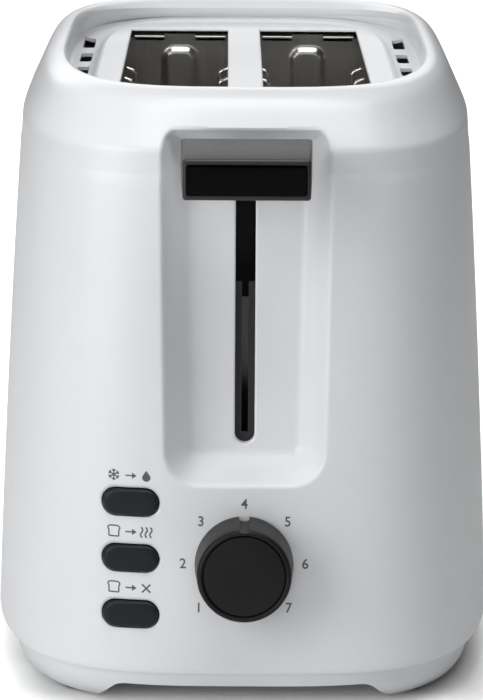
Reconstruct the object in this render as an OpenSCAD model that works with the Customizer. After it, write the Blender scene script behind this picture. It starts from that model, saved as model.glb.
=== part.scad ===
// Pop-up toaster for two slices: a moulded shell round a steel toasting chamber, with a lift
// lever, a browning knob and three push buttons on its front and a crumb tray at its rear.
// Millimetres. +X is the right-hand side seen from the front, +Y the rear and +Z up.

/* [Body] */
// Width of the shell at its lower edge
body_w = 159.6; // [158:0.2:161]
// Length of the shell at its lower edge
body_l = 268; // [266:1:270]
// Height of the highest point of the shell above the table
body_h = 190; // [189.5:0.5:191]
// Height of the shell's lower edge above the table
skirt_z = 13; // [12.5:0.5:13.5]
// Wall thickness of the shell
wall = 2.5; // [2.2:0.1:2.7]
// Power of the superellipse that gives the plan outline, where 2 is an ellipse
plan_power = 3.6; // [3.4:0.1:3.8]
// Lean of the front and rear faces, in degrees
end_lean = 3.66; // [3.5:0.02:3.8]
// Height at which the sides start to roll over into the rim
shoulder_z = 164; // [163:0.5:165]
// How far the roll at the shoulder comes in at the sides
shoulder_w = 11.3; // [11:0.1:12]
// How far the roll at the shoulder comes in at the front and rear
shoulder_l = 17; // [16:0.5:18]
// How far the rim's crest dips towards the front and rear
rim_dip = 2; // [1.5:0.5:2.5]

/* [Well and slots] */
// Inner width of the rim round the well
well_w = 115; // [114:0.5:115.5]
// Inner length of the rim round the well
well_l = 196; // [194:1:198]
// Height of the deck that the bread slots are cut in
deck_z = 180.7; // [180:0.1:181.5]
// Distance from the middle of the toaster to each bread slot
slot_inner_x = 5.6; // [5.4:0.1:5.8]
// Distance from the middle of the toaster to the outer edge of each bread slot
slot_outer_x = 39.5; // [39:0.1:39.8]
// Length of each bread slot
slot_l = 148.8; // [148:0.2:149.6]
// Number of vent windows along each side of the well
vents = 5; // [3:1:5]

/* [Lever] */
// How far the lever travels down
lift_travel = 72; // [70:1:72]
// Width of the lever handle at its front
handle_w = 37; // [36:0.5:38]
// Height of the handle's front face
handle_h = 12; // [11:0.5:12.5]
// Height of the underside of the handle when it is up
handle_z = 161; // [160.5:0.5:161.5]
// How far in front of the shell's lower edge the handle's front face stands
handle_reach = 13; // [12:0.5:13.5]
// Depth of the recess behind the handle
recess_depth = 12; // [11:0.5:12]
// Width of the slot that the lever arm runs in
lever_slot_w = 6; // [5.6:0.1:6.4]

/* [Controls] */
// Height of the browning knob's axis where it meets the shell
knob_z = 47.4; // [47:0.1:48]
// Diameter of the knob's skirt
knob_d = 29.6; // [29:0.1:30.5]
// How far the knob stands out from the shell
knob_reach = 17; // [16:0.5:17]
// Distance of the column of buttons to the left of the knob
button_x = 34.2; // [34:0.1:34.5]
// Height of the middle button
button_z = 48.5; // [48.2:0.1:48.8]
// Distance between neighbouring buttons
button_pitch = 17.2; // [16.8:0.1:17.4]
// Length of a button
button_l = 16.8; // [16.4:0.1:17]
// Height of a button
button_h = 8.1; // [7.9:0.1:8.3]
// Travel of a button
button_travel = 2; // [1.6:0.1:2]

/* [Chamber] */
// Half of the distance between the chamber's front and rear plates
chamber_y = 77; // [76.8:0.1:77.2]
// Distance of the side reflectors from the middle
reflector_x = 50; // [49.8:0.1:50.2]
// Thickness of the steel sheet
sheet = 0.8; // [0.7:0.1:0.9]
// Number of runs of the heating ribbon on each face of a mica card
ribbon_runs = 9; // [7:2:9]
// Number of upright wires in each bread guard
guard_wires = 6; // [5:1:6]

/* [Hidden] */
$fn = 48;
ring_points = 80;
eps = 0.01;
big = 400;

white = [0.93, 0.93, 0.94];
black = [0.06, 0.06, 0.07];
steel = [0.62, 0.63, 0.64];
mica = [0.72, 0.66, 0.55];
brass = [0.78, 0.6, 0.3];

// Outline of the shell at a height: nearly upright sides that draw in slowly, straight leaning ends
body_a = body_w / 2;
body_b = body_l / 2;
side_taper = 0.0385;
side_curve = 0.0001;
shoulder_h = body_h - shoulder_z;
function up(z) = z - skirt_z;
function side(z) = body_a - side_taper * up(z) - side_curve * up(z) * up(z);
function end(z) = body_b - tan(end_lean) * up(z);

// One point of a superellipse, and a closed ring of such points whose ends dip
function bow(v, p) = sign(v) * pow(abs(v), 2 / p);
function ring(a, b, z, dip = 0, p = plan_power) = [
    for (i = [0:ring_points - 1])
        let (t = 360 * i / ring_points, y = b * bow(sin(t), p))
            [a * bow(cos(t), p), y, z - dip * pow(y / well_b, 2)]
];
function outline(a, b, p = plan_power) = [for (q = ring(a, b, 0, 0, p)) [q[0], q[1]]];

// How far the bowed front face falls back at a distance x from its middle
function face_bow(x, z) = end(z) * (1 - pow(1 - pow(abs(x) / side(z), plan_power), 1 / plan_power));

// A ring on the shoulder, turned by an angle from upright to level and moved inwards by t
function shoulder_ring(turn, t = 0) =
    let (z = shoulder_z + shoulder_h * sin(turn))
        ring(
            side(z) - shoulder_w * (1 - cos(turn)) - t * cos(turn),
            end(z) - shoulder_l * (1 - cos(turn)) - t * cos(turn),
            z - t * sin(turn),
            rim_dip * sin(turn)
        );

// The well: the rim's inner edge, the undercut wall below it, a vented moat and the raised deck
well_a = well_w / 2;
well_b = well_l / 2;
lip_z = body_h - 0.6;
lip_dip = 4.3;
deck_t = 2.2;
deck_a = 47;
deck_b = 90;
moat_z = deck_z - 4;
moat_dip = -3.6;
moat_t = 1.2;
slot_edge_t = 0.9;
slot_relief = 0.8;
slot_relief_half_w = 15;
slot_relief_l = 4;
cut = 10;
vent_x = 51.6;
vent_w = 4;
vent_l = 17;
vent_pitch = 28;

// Lever, handle and recess, in the plane of the leaning front face
front_y = -body_b;
handle_front_y = front_y - handle_reach;
handle_depth = 20;
recess_top_z = 178.7;
recess_foot_z = 71.3;
recess_half_top = 25.4;
recess_half_foot = 23.9;
recess_draft = 5;
recess_foot_r = 10;
recess_top_r = 5;
lever_slot_foot_z = 81;
lever_slot_top_z = 172;
arm_t = 1.2;
arm_z = handle_z + 1.5;
arm_h = 9;
seal_t = 1.2;
seal_half_w = 7;
seal_top_z = 131;
seal_foot_z = 74.5;
seal_slit = 2;

// Chamber, guards and lift mechanism
chamber_foot_z = 20;
chamber_top_z = 178.4;
plate_corner_z = 177;
plate_corner_x = 38.5;
reflector_top_z = 175;
leg_foot_z = 11;
leg_w = 3.5;
slot_mid_x = (slot_inner_x + slot_outer_x) / 2;
slot_half_w = (slot_outer_x - slot_inner_x) / 2;
card_x = 44.5;
card_t = 0.8;
card_foot_z = 42;
card_top_z = 160;
ribbon_t = 0.5;
ribbon_w = 1.6;
ribbon_half_l = 66;
guard_wire_r = 0.8;
guard_rod_r = 1.25;
guard_z = 34;
guard_top_z = 168;
guard_outer_x = slot_outer_x - 1.6;
guard_inner_x = slot_inner_x + 2.8;
guard_hook = 3.4;
guard_half_l = 62;
guard_bend = 70;
lifter_z = 117;
lifter_half_w = 8;
rod_x = 30;
rod_y = -92;
rod_r = 2.5;
bush_r = 4.5;
bush_foot_z = 112;
bush_h = 36;
shelf_front_y = -99;
plate_y = -97.5;
plate_t = 1.5;
arm_slot_w = 5;
running = 0.05;
spring_foot_z = chamber_foot_z + sheet;
spring_turns = 11;
spring_wire_r = 0.6;
spring_r = 3.9;
spring_steps = 12;
spring_sides = 6;
magnet_z = 28;
magnet_h = 24;
keeper_gap = 0.3;
keeper_z = magnet_z + magnet_h + keeper_gap + lift_travel;
keeper_t = 2.5;
keeper_y = -84;
tab_l = 12;
tab_h = 8;

// Electromagnet, mains switch, terminals and gland
magnet_half_w = 14;
magnet_yoke_t = 4;
magnet_y = [-97, -95, -84];
magnet_core_w = 6;
magnet_leg_w = 4;
coil_half_w = 8.5;
coil_y = [-98, -81];
coil_z = [5, 21];
switch_x = [40, 48];
switch_top_z = 37;
leaf_x = 35;
leaf_w = 3;
leaf_t = 0.5;
leaf_y = [-95, -90];
terminal_x = [12, 34];
terminal_z = [26, 38];
terminal_end_y = 92;
terminal_hole_x = [16, 23, 30];
terminal_hole_y = 86;
terminal_hole_r = 1.6;
gland_neck_r = 5.9;
gland_depth = 8;
gland_face = 1.5;

// Front controls, measured along the leaning face's outward normal
face_y = -end(knob_z);
board_n = -22;
board_t = 1.6;
board_low = 21;
board_high = 72.5;
shaft_r = 3;
stem_r = 2.5;
flange_n = -9;
bracket_n = -14;
bracket_t = 1.5;
bracket_low = 26;
bracket_high = 23.5;
tact_n = board_n + 4;
stem_end_n = tact_n + 0.8 + button_travel + 0.3;
button_gap = 0.4;
boss_x = [-49.5, 14];
boss_z = [28, 64];

// Crumb tray, base and fasteners
tray_z = 14.2;
tray_half_w = 45.5;
tray_front_y = -75;
tray_lip = 3;
pull_y = 122;
pull_half_w = 46.5;
pull_z = 13.6;
pull_h = 9;
pull_rear_y = 133.2;
pull_arc_r = 237;
finger_l = 44;
tray_gap = 0.7;
base_floor_z = 8.7;
foot_z = 1;
arch_half_x = 39;
arch_half_y = 80;
arch_slope = 7;
pad_x = 51;
pad_y = 103;
pad_r = 4.5;
case_screw_x = 58;
case_screw_y = 94;
case_boss_r = 5;
case_screw_r = 2;
screw_head_r = 4;
screw_head_h = 2.6;
screw_l = 18;
head_well_r = 4.6;
chassis_screw_x = 47.6;
chassis_screw_z = [58, 138];
flange_w = 4.8;
gland_z = 40;
gland_r = 8.5;
gland_bore_r = 3.6;

// The whole model is moved along Y so that the origin lies under the middle of its box
knob_face_y = face_y - knob_reach * cos(end_lean) - (knob_d / 2 - 1) * sin(end_lean);
frame_y = -(knob_face_y + body_b) / 2;
module in_frame() translate([0, frame_y, 0]) children();

// Places things on the leaning front face: X to the right, Y up the face, Z straight out of it
module on_front(x, z) translate([x, -end(z), z]) rotate([90 - end_lean, 0, 0]) children();
module mirrored_x() {
    children();
    mirror([1, 0, 0]) children();
}
module mirrored_y() {
    children();
    mirror([0, 1, 0]) children();
}
module box(low, high) translate(low) cube(high - low);
module rod(from, length, r, axis = [0, 0, 0]) translate(from) rotate(axis) cylinder(r = r, h = length);
module along_y(x, y, z, length, r) rod([x, y, z], length, r, [-90, 0, 0]);

// A closed skin through a stack of rings. Capped ends make a solid, joined ends make a tube.
function skin_faces(m, joined) = let (n = ring_points) concat(
    [
        for (k = [0:m - (joined ? 1 : 2)], i = [0:n - 1], half = [0, 1])
            let (a = k * n, b = ((k + 1) % m) * n, j = (i + 1) % n)
                half == 0 ? [a + i, b + i, b + j] : [a + i, b + j, a + j]
    ],
    joined ? [] : [[for (i = [0:n - 1]) i], [for (i = [n - 1:-1:0]) (m - 1) * n + i]]
);
module skin(rings, joined = false)
    polyhedron([for (r = rings) each r], skin_faces(len(rings), joined), convexity = 8);

outer_z = [skirt_z, 50, 95, 135, shoulder_z];
shell_outer = concat(
    [for (z = outer_z) ring(side(z), end(z), z)],
    [for (turn = [15:15:90]) shoulder_ring(turn)]
);
shell_inner = concat(
    [ring(well_a, well_b, lip_z, lip_dip), ring(well_a, well_b, lip_z - wall, lip_dip)],
    [for (turn = [80, 50, 20, 0]) shoulder_ring(turn, wall)],
    [for (z = [95, skirt_z]) ring(side(z) - wall, end(z) - wall, z)]
);

// Stadium outline of a given length and height
module stadium(l, h) {
    square([l - h, h], center = true);
    for (s = [-1, 1])
        translate([s * (l - h) / 2, 0])
            circle(d = h);
}

// The recess behind the lever: a draughted pocket with round corners, grown by t all round
module recess_block(t, outside) {
    foot = up(recess_foot_z) / cos(end_lean);
    top = up(recess_top_z) / cos(end_lean);
    hull()
        for (s = [-1, 1], deep = [0, 1])
            let (draft = deep * recess_draft, n = deep ? -recess_depth - t : outside)
                on_front(0, skirt_z) {
                    translate([
                        s * (recess_half_foot - recess_foot_r - draft),
                        foot + recess_foot_r + draft,
                        n
                    ])
                        cylinder(r = recess_foot_r + t, h = eps, $fn = 32);
                    translate([
                        s * (recess_half_top - recess_top_r - draft),
                        top - recess_top_r - draft / 2,
                        n
                    ])
                        cylinder(r = recess_top_r + t, h = eps, $fn = 32);
                }
}

module lever_slot_cut() {
    box([-lever_slot_w / 2, front_y, lever_slot_foot_z + lever_slot_w / 2],
        [lever_slot_w / 2, -100, lever_slot_top_z]);
    along_y(0, front_y, lever_slot_foot_z + lever_slot_w / 2, -100 - front_y, lever_slot_w / 2);
}

module outer_shell() in_frame() color(white)
    difference() {
        union() {
            skin(concat(shell_outer, shell_inner), true);
            intersection() {
                recess_block(wall, -1);
                skin([for (r = shell_outer) r]);
            }
            for (sx = [-1, 1], sy = [-1, 1]) {
                rod([sx * case_screw_x, sy * case_screw_y, leg_foot_z], 30, case_boss_r);
                mirror([sx < 0 ? 1 : 0, 0, 0])
                    box([case_screw_x + 3, sy * case_screw_y - 1, skirt_z + 1],
                        [side(skirt_z) * 0.89, sy * case_screw_y + 1, 37]);
            }
            for (x = boss_x, z = boss_z)
                on_front(x, z)
                    translate([0, 0, board_n])
                        cylinder(r = 3, h = -board_n - face_bow(x, z) - wall / 2);
        }
        recess_block(0, 20);
        lever_slot_cut();
        on_front(0, knob_z)
            translate([0, 0, -8])
                cylinder(r = 5, h = 12);
        for (k = [-1, 0, 1])
            on_front(-button_x, button_z + k * button_pitch)
                translate([0, 0, -9])
                    linear_extrude(14)
                        stadium(button_l + 2 * button_gap, button_h + 2 * button_gap);
        for (x = boss_x, z = boss_z)
            on_front(x, z)
                translate([0, 0, board_n - 1])
                    cylinder(r = 1.2, h = 12);
        for (sx = [-1, 1], sy = [-1, 1])
            rod([sx * case_screw_x, sy * case_screw_y, leg_foot_z - 1], screw_l, case_screw_r);
        box([-pull_half_w - tray_gap, 115, skirt_z - 1],
            [pull_half_w + tray_gap, 140, pull_z + pull_h + tray_gap]);
        along_y(0, 120, gland_z, 20, 6);
    }

deck_rings = [
    ring(deck_a - 0.5, deck_b, deck_z - deck_t, 0, 5),
    ring(deck_a + 1.9, deck_b + 1.9, moat_z - moat_t / 2, moat_dip, 4.8),
    ring(deck_a + 3.4, deck_b + 3.4, moat_z - moat_t, moat_dip, 4.4),
    ring(well_a - 0.6, well_b + 0.3, moat_z - moat_t, moat_dip),
    ring(well_a + 2.6, well_b + 3.2, moat_z - 0.2, moat_dip),
    ring(well_a + 3.8, well_b + 4.2, deck_z + 0.3, 0.5),
    ring(well_a + 3.4, well_b + 3.7, lip_z - 5.2, 2.4),
    ring(well_a + 2.6, well_b + 2.8, lip_z - wall - 0.4, lip_dip - 0.1),
    ring(well_a + 1.4, well_b + 1.6, lip_z - wall - 0.4, lip_dip - 0.1),
    ring(well_a + 2.1, well_b + 2.5, lip_z - 5.4, 2.4),
    ring(well_a + 2.5, well_b + 3, deck_z + 0.6, 0.5),
    ring(well_a + 1.6, well_b + 2.2, moat_z + 1, moat_dip),
    ring(well_a - 0.8, well_b + 0.1, moat_z, moat_dip),
    ring(deck_a + 4.8, deck_b + 4.6, moat_z, moat_dip, 4.2),
    ring(deck_a + 3, deck_b + 3, moat_z + 1.2, moat_dip + 1.2, 4.6),
    ring(deck_a, deck_b, deck_z, 0, 5)
];

module top_deck() in_frame() color(white)
    difference() {
        skin(deck_rings);
        mirrored_x() {
            box([slot_inner_x, -slot_l / 2, deck_z - cut], [slot_outer_x, slot_l / 2, deck_z + cut]);
            box([slot_inner_x - slot_relief, -slot_l / 2 - 1, deck_z - cut],
                [slot_outer_x + slot_relief, slot_l / 2 + 1, deck_z - slot_edge_t]);
            box([slot_mid_x - slot_relief_half_w, -slot_l / 2 - slot_relief_l, deck_z - cut],
                [slot_mid_x + slot_relief_half_w, slot_l / 2 + slot_relief_l, deck_z - slot_edge_t]);
            for (k = [0:vents - 1])
                let (y = (k - (vents - 1) / 2) * vent_pitch)
                    box([vent_x, y - vent_l / 2, deck_z - cut],
                        [vent_x + vent_w, y + vent_l / 2, deck_z + cut]);
        }
    }

// Section of the hollow between two feet, with rounded upper corners
module arch(half) rotate([90, 0, 0])
    translate([0, 0, -big / 2])
        linear_extrude(big)
            polygon([
                [-half + 2.6, base_floor_z], [half - 2.6, base_floor_z],
                [half - 0.4, base_floor_z - 0.5], [half + 1.2, base_floor_z - 1.7],
                [half + arch_slope, 0], [-half - arch_slope, 0],
                [-half - 1.2, base_floor_z - 1.7], [-half + 0.4, base_floor_z - 0.5]
            ]);

// Tub under the shell: its sides stand back, its ends curve in, and a thin flange carries the shell
module base() in_frame() color(white)
    difference() {
        skin([
            ring(body_a - 5.7, body_b - 9.8, foot_z),
            ring(body_a - 5.2, body_b - 7.2, 2.5),
            ring(body_a - 4.8, body_b - 5, 4.3),
            ring(body_a - 4.5, body_b - 2.6, 7),
            ring(body_a - 4.3, body_b - 1.4, 9.8),
            ring(body_a - 4.2, body_b - 1.1, 12),
            ring(body_a - 1.7, body_b - 1.1, 12.1),
            ring(body_a - 1.7, body_b - 1.1, skirt_z)
        ]);
        translate([0, 0, leg_foot_z])
            linear_extrude(20)
                polygon(outline(body_a - 7, body_b - 5));
        arch(arch_half_x);
        rotate([0, 0, 90])
            arch(arch_half_y);
        for (sx = [-1, 1], sy = [-1, 1]) {
            rod([sx * case_screw_x, sy * case_screw_y, -1], base_floor_z + 1, head_well_r);
            rod([sx * case_screw_x, sy * case_screw_y, -1], leg_foot_z + 2, case_screw_r + 0.1);
        }
    }

module foot_pads() in_frame() color(black)
    mirrored_x() mirrored_y()
        rod([pad_x, pad_y, 0], foot_z, pad_r);

module case_screws() in_frame() color(steel)
    mirrored_x() mirrored_y()
        translate([case_screw_x, case_screw_y, 0])
            difference() {
                union() {
                    rod([0, 0, base_floor_z - screw_head_h], screw_head_h, screw_head_r);
                    rod([0, 0, base_floor_z], screw_l, case_screw_r);
                }
                for (turn = [0, 90])
                    rotate([0, 0, turn])
                        box([-2.4, -0.5, base_floor_z - 3], [2.4, 0.5, base_floor_z - 1.4]);
            }

// Steel plate at one end of the chamber, drawn for the rear and mirrored for the front
module end_plate() {
    box([-reflector_x, chamber_y, chamber_foot_z], [reflector_x, chamber_y + sheet, plate_corner_z]);
    box([-plate_corner_x, chamber_y, chamber_foot_z],
        [plate_corner_x, chamber_y + sheet, chamber_top_z]);
    mirrored_x()
        box([reflector_x - leg_w, chamber_y, leg_foot_z],
            [reflector_x, chamber_y + sheet, chamber_foot_z + 1]);
}
module pivot_holes()
    mirrored_x()
        for (x = [guard_inner_x, guard_outer_x])
            along_y(x, chamber_y - 10, guard_z, 20, guard_rod_r + running);
module chassis_screw_holes()
    mirrored_x()
        for (z = chassis_screw_z)
            along_y(chassis_screw_x, chamber_y - 8, z, 20, 1.5);

module front_plate() in_frame() color(steel)
    difference() {
        union() {
            mirror([0, 1, 0]) end_plate();
            for (z = [chamber_foot_z, chamber_top_z - 2])
                box([-rod_x - 6, shelf_front_y, z], [rod_x + 6, -chamber_y, z + sheet]);
        }
        mirror([0, 1, 0]) {
            pivot_holes();
            chassis_screw_holes();
        }
        mirrored_x() {
            rod([rod_x, rod_y, 0], 200, rod_r);
            box([slot_mid_x - arm_slot_w / 2, -chamber_y - 5, lifter_z - lift_travel - 6],
                [slot_mid_x + arm_slot_w / 2, -chamber_y + 5, lifter_z + 7]);
        }
        box([-9, shelf_front_y - 1, 160], [9, -chamber_y - sheet - 0.6, 180]);
    }

// Domed rib pressed into the rear plate behind each slot
dome_w = 13;
dome_h = 34;
dome_t = 1.6;
dome_top_z = 174.5;
lip_l = 4.5;
lip_gap = 11;

module rear_plate() in_frame() color(steel)
    difference() {
        union() {
            end_plate();
            mirrored_x() {
                translate([slot_mid_x, chamber_y + eps, dome_top_z - dome_h / 2])
                    rotate([90, 90, 0])
                        linear_extrude(dome_t)
                            stadium(dome_h, dome_w);
                for (s = [-1, 1])
                    let (near = lip_gap / 2, far = slot_half_w - 1)
                        box([slot_mid_x + (s < 0 ? -far : near), chamber_y - lip_l, chamber_top_z - sheet],
                            [slot_mid_x + (s < 0 ? -near : far), chamber_y + eps, chamber_top_z]);
            }
        }
        pivot_holes();
        chassis_screw_holes();
    }

// Bent side sheet with a flange at each end; the tabs behind the plates take the screws
module reflector() {
    box([reflector_x, -chamber_y, chamber_foot_z + 4], [reflector_x + 0.6, chamber_y, reflector_top_z]);
    mirrored_y()
        difference() {
            box([reflector_x - flange_w, chamber_y - 0.6, chamber_foot_z + 22],
                [reflector_x + eps, chamber_y, reflector_top_z]);
            for (z = chassis_screw_z)
                along_y(chassis_screw_x, chamber_y - 8, z, 20, 1.5);
        }
}
module reflector_right() in_frame() color(steel) reflector();
module reflector_left() in_frame() color(steel) mirror([1, 0, 0]) reflector();

module chassis_rails() in_frame() color(steel)
    mirrored_x() {
        box([slot_outer_x + 7, -chamber_y, chamber_foot_z],
            [reflector_x, chamber_y, chamber_foot_z + sheet]);
        box([reflector_x - sheet, -chamber_y, chamber_foot_z + sheet],
            [reflector_x, chamber_y, chamber_foot_z + 4]);
    }

module chassis_screws() in_frame() color(steel)
    mirrored_x() mirrored_y()
        for (z = chassis_screw_z) {
            along_y(chassis_screw_x, chamber_y + sheet, z, 1.8, 2.4);
            along_y(chassis_screw_x, chamber_y - 3, z, 3 + sheet, 1.5);
        }

// Mica card across the chamber, and the flat ribbon that zigzags up one of its faces
module heater_card(x) {
    box([x - card_t / 2, -chamber_y, card_foot_z], [x + card_t / 2, chamber_y, card_top_z]);
}
module heater_ribbon(face_x, out) {
    pitch = (card_top_z - card_foot_z - 14) / (ribbon_runs - 1);
    low_x = min(face_x, face_x + out * ribbon_t);
    high_x = max(face_x, face_x + out * ribbon_t);
    for (k = [0:ribbon_runs - 1]) {
        z = card_foot_z + 7 + k * pitch;
        box([low_x, -ribbon_half_l, z - ribbon_w / 2], [high_x, ribbon_half_l, z + ribbon_w / 2]);
        if (k < ribbon_runs - 1) {
            y = k % 2 == 0 ? ribbon_half_l - ribbon_w : -ribbon_half_l;
            box([low_x, y, z], [high_x, y + ribbon_w, z + pitch]);
        }
    }
}
module heater_card_left() in_frame() color(mica) heater_card(-card_x);
module heater_card_center() in_frame() color(mica) heater_card(0);
module heater_card_right() in_frame() color(mica) heater_card(card_x);
module heater_ribbon_left() in_frame() color(brass) heater_ribbon(-card_x + card_t / 2, 1);
module heater_ribbon_right() in_frame() color(brass) heater_ribbon(card_x - card_t / 2, -1);
module heater_ribbon_center() in_frame() color(brass) {
    heater_ribbon(card_t / 2, 1);
    heater_ribbon(-card_t / 2, -1);
}

// Wire guard that leans in against the bread: a pivot rod, a top rod and hooked uprights
module bread_guard(x, out) {
    half = guard_half_l;
    along_y(x, -chamber_y - 2, guard_z, 2 * chamber_y + 4, guard_rod_r);
    along_y(x, -half, guard_top_z - 14, 2 * half, guard_wire_r);
    for (k = [0:guard_wires - 1]) {
        y = -half + 2 + k * (2 * half - 4) / (guard_wires - 1);
        rod([x, y, guard_z], guard_top_z - guard_z, guard_wire_r);
        translate([x, y, guard_top_z])
            sphere(r = guard_wire_r, $fn = 24);
        translate([x, y, guard_top_z])
            rotate([0, out * guard_bend, 0])
                cylinder(r = guard_wire_r, h = guard_hook);
    }
}
module guard_left_outer() in_frame() color(steel) bread_guard(-guard_outer_x, -1);
module guard_left_inner() in_frame() color(steel) bread_guard(-guard_inner_x, 1);
module guard_right_inner() in_frame() color(steel) bread_guard(guard_inner_x, -1);
module guard_right_outer() in_frame() color(steel) bread_guard(guard_outer_x, 1);

module guide_rods() in_frame() color(steel)
    mirrored_x()
        rod([rod_x, rod_y, chamber_foot_z - 1], chamber_top_z - chamber_foot_z + 0.2, rod_r);

// Dark strip behind the lever slot, slit down its middle for the arm
module slot_seal() in_frame() color(black)
    difference() {
        on_front(0, skirt_z)
            box([-seal_half_w, up(seal_foot_z), -recess_depth - wall - seal_t],
                [seal_half_w, up(seal_top_z), -recess_depth - wall]);
        box([-seal_slit / 2, -130, lever_slot_foot_z + 3], [seal_slit / 2, -90, seal_top_z + 20]);
    }

// Electromagnet that holds the carriage down: laminated core and wound bobbin
module magnet_core() in_frame() color(steel) {
    box([-magnet_half_w, magnet_y[0], magnet_z],
        [magnet_half_w, -chamber_y - sheet, magnet_z + magnet_yoke_t]);
    box([-magnet_core_w / 2, magnet_y[1], magnet_z + magnet_yoke_t - eps],
        [magnet_core_w / 2, magnet_y[2], magnet_z + magnet_h]);
    mirrored_x()
        box([magnet_half_w - magnet_leg_w, magnet_y[1], magnet_z + magnet_yoke_t - eps],
            [magnet_half_w, magnet_y[2], magnet_z + magnet_h]);
}
module magnet_coil() in_frame() color("peru")
    difference() {
        box([-coil_half_w, coil_y[0], magnet_z + coil_z[0]],
            [coil_half_w, coil_y[1], magnet_z + coil_z[1]]);
        box([-magnet_core_w / 2, magnet_y[1], magnet_z],
            [magnet_core_w / 2, magnet_y[2], magnet_z + magnet_h + 6]);
    }

module circuit_board() in_frame() color("darkgreen")
    difference() {
        on_front(0, 0)
            box([boss_x[0] - 4.5, board_low, board_n - board_t],
                [boss_x[1] + 4.5, board_high, board_n]);
        for (x = boss_x, z = boss_z)
            on_front(x, z)
                translate([0, 0, board_n - 5])
                    cylinder(r = 1.2, h = 10);
        on_front(0, knob_z)
            translate([0, 0, board_n - 5])
                cylinder(r = 4, h = 10);
    }

module board_components() in_frame() color("dimgray") {
    on_front(-15, 30)
        translate([0, 0, board_n])
            cylinder(r = 4, h = 11);
    on_front(0, 0) {
        box([-21, 40, board_n], [-12, 58, board_n + 9]);
        box([-10, 22.5, board_n], [8, 30, board_n + 5]);
        box([-9, 61, board_n], [-1, 65, board_n + 2.5]);
    }
}

module tact_switches() in_frame() color(black)
    for (k = [-1, 0, 1])
        on_front(-button_x, button_z + k * button_pitch) {
            translate([-3, -3, board_n])
                cube([6, 6, tact_n - board_n]);
            translate([0, 0, tact_n - eps])
                cylinder(r = 1.7, h = 0.8 + eps);
        }

module board_screws() in_frame() color(steel)
    for (x = boss_x, z = boss_z)
        on_front(x, z) {
            translate([0, 0, board_n - board_t - 1.6])
                cylinder(r = 2.4, h = 1.6);
            translate([0, 0, board_n - board_t])
                cylinder(r = 1.2, h = board_t + 8);
        }

// Bracket on the board whose holes guide the buttons' stems
module button_bracket() in_frame() color(white)
    difference() {
        on_front(-button_x, button_z) {
            box([-6, -bracket_low, bracket_n], [6, bracket_high, bracket_n + bracket_t]);
            box([-6, -bracket_low, board_n], [6, 2 - bracket_low, bracket_n + eps]);
            box([-6, bracket_high - 2, board_n], [6, bracket_high, bracket_n + eps]);
        }
        for (k = [-1, 0, 1])
            on_front(-button_x, button_z + k * button_pitch)
                translate([0, 0, board_n + 1])
                    cylinder(r = stem_r + running, h = 20);
    }

// Body and threaded neck of the browning control, which stands on the board
module browning_control() in_frame() color(steel)
    on_front(0, knob_z)
        difference() {
            union() {
                translate([0, 0, board_n])
                    cylinder(r = 8.5, h = 8);
                translate([0, 0, board_n])
                    cylinder(r = 4.4, h = 16);
            }
            translate([0, 0, board_n - 1])
                cylinder(r = shaft_r + running, h = 30);
        }

module control_shaft() in_frame() color(steel)
    on_front(0, knob_z)
        translate([0, 0, board_n - board_t])
            cylinder(r = shaft_r, h = board_t - board_n + 11);

notch_w = 3;

// Turned knob: skirt with a round-edged rim, a shallow face and a notch that points at the scale
module knob() in_frame() color(black)
    on_front(0, knob_z)
        difference() {
            rotate_extrude($fn = 96)
                polygon([
                    [0, 2.2], [knob_d / 2 - 1.6, 2.2], [knob_d / 2 - 1.6, 0.7], [knob_d / 2, 0.7],
                    [knob_d / 2, 3.2], [knob_d / 2 - 0.7, knob_reach - 1.2],
                    [knob_d / 2 - 1, knob_reach - 0.4], [knob_d / 2 - 1.6, knob_reach],
                    [knob_d / 2 - 2.4, knob_reach - 0.3],
                    [knob_d / 2 - 2.5, knob_reach - 1.4], [0, knob_reach - 1.4]
                ]);
            translate([0, 0, -1])
                cylinder(r = shaft_r, h = 12);
            box([-notch_w / 2, knob_d / 2 - 1.5, 0], [notch_w / 2, knob_d, knob_reach + 1]);
        }

module knob_cap() in_frame() color(black)
    on_front(0, knob_z)
        translate([0, 0, knob_reach - 1.4])
            cylinder(r = knob_d / 2 - 2.6, h = 1);

// Push button: a cap that follows the bowed face, a retaining flange and a stem
button_bow = face_bow(button_x, button_z);
button_yaw = 10.5;
button_proud = 0.8;
module push_button(k) in_frame() color(black)
    on_front(-button_x, button_z + k * button_pitch) {
        intersection() {
            translate([0, 0, flange_n])
                linear_extrude(20)
                    stadium(button_l, button_h);
            translate([0, 0, button_proud - button_bow])
                rotate([0, -button_yaw, 0])
                    box([-20, -20, -30], [20, 20, 0]);
        }
        translate([0, 0, flange_n - 1.2])
            linear_extrude(1.2 + eps)
                stadium(button_l + 3, button_h + 3);
        translate([0, 0, stem_end_n])
            cylinder(r = stem_r, h = flange_n - stem_end_n);
    }
module defrost_button() push_button(1);
module reheat_button() push_button(0);
module cancel_button() push_button(-1);

module switch_block() in_frame() color(black)
    box([switch_x[0], magnet_y[0], chamber_foot_z + 2],
        [switch_x[1], -chamber_y - sheet, switch_top_z]);

module contact_leaves() in_frame() color(brass)
    for (y = leaf_y)
        box([leaf_x, y, switch_top_z], [switch_x[1], y + leaf_w, switch_top_z + leaf_t]);

module terminal_block() in_frame() color(white)
    difference() {
        box([terminal_x[0], chamber_y + sheet, terminal_z[0]],
            [terminal_x[1], terminal_end_y, terminal_z[1]]);
        for (x = terminal_hole_x)
            rod([x, terminal_hole_y, terminal_z[0] + 4], 20, terminal_hole_r);
    }

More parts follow.
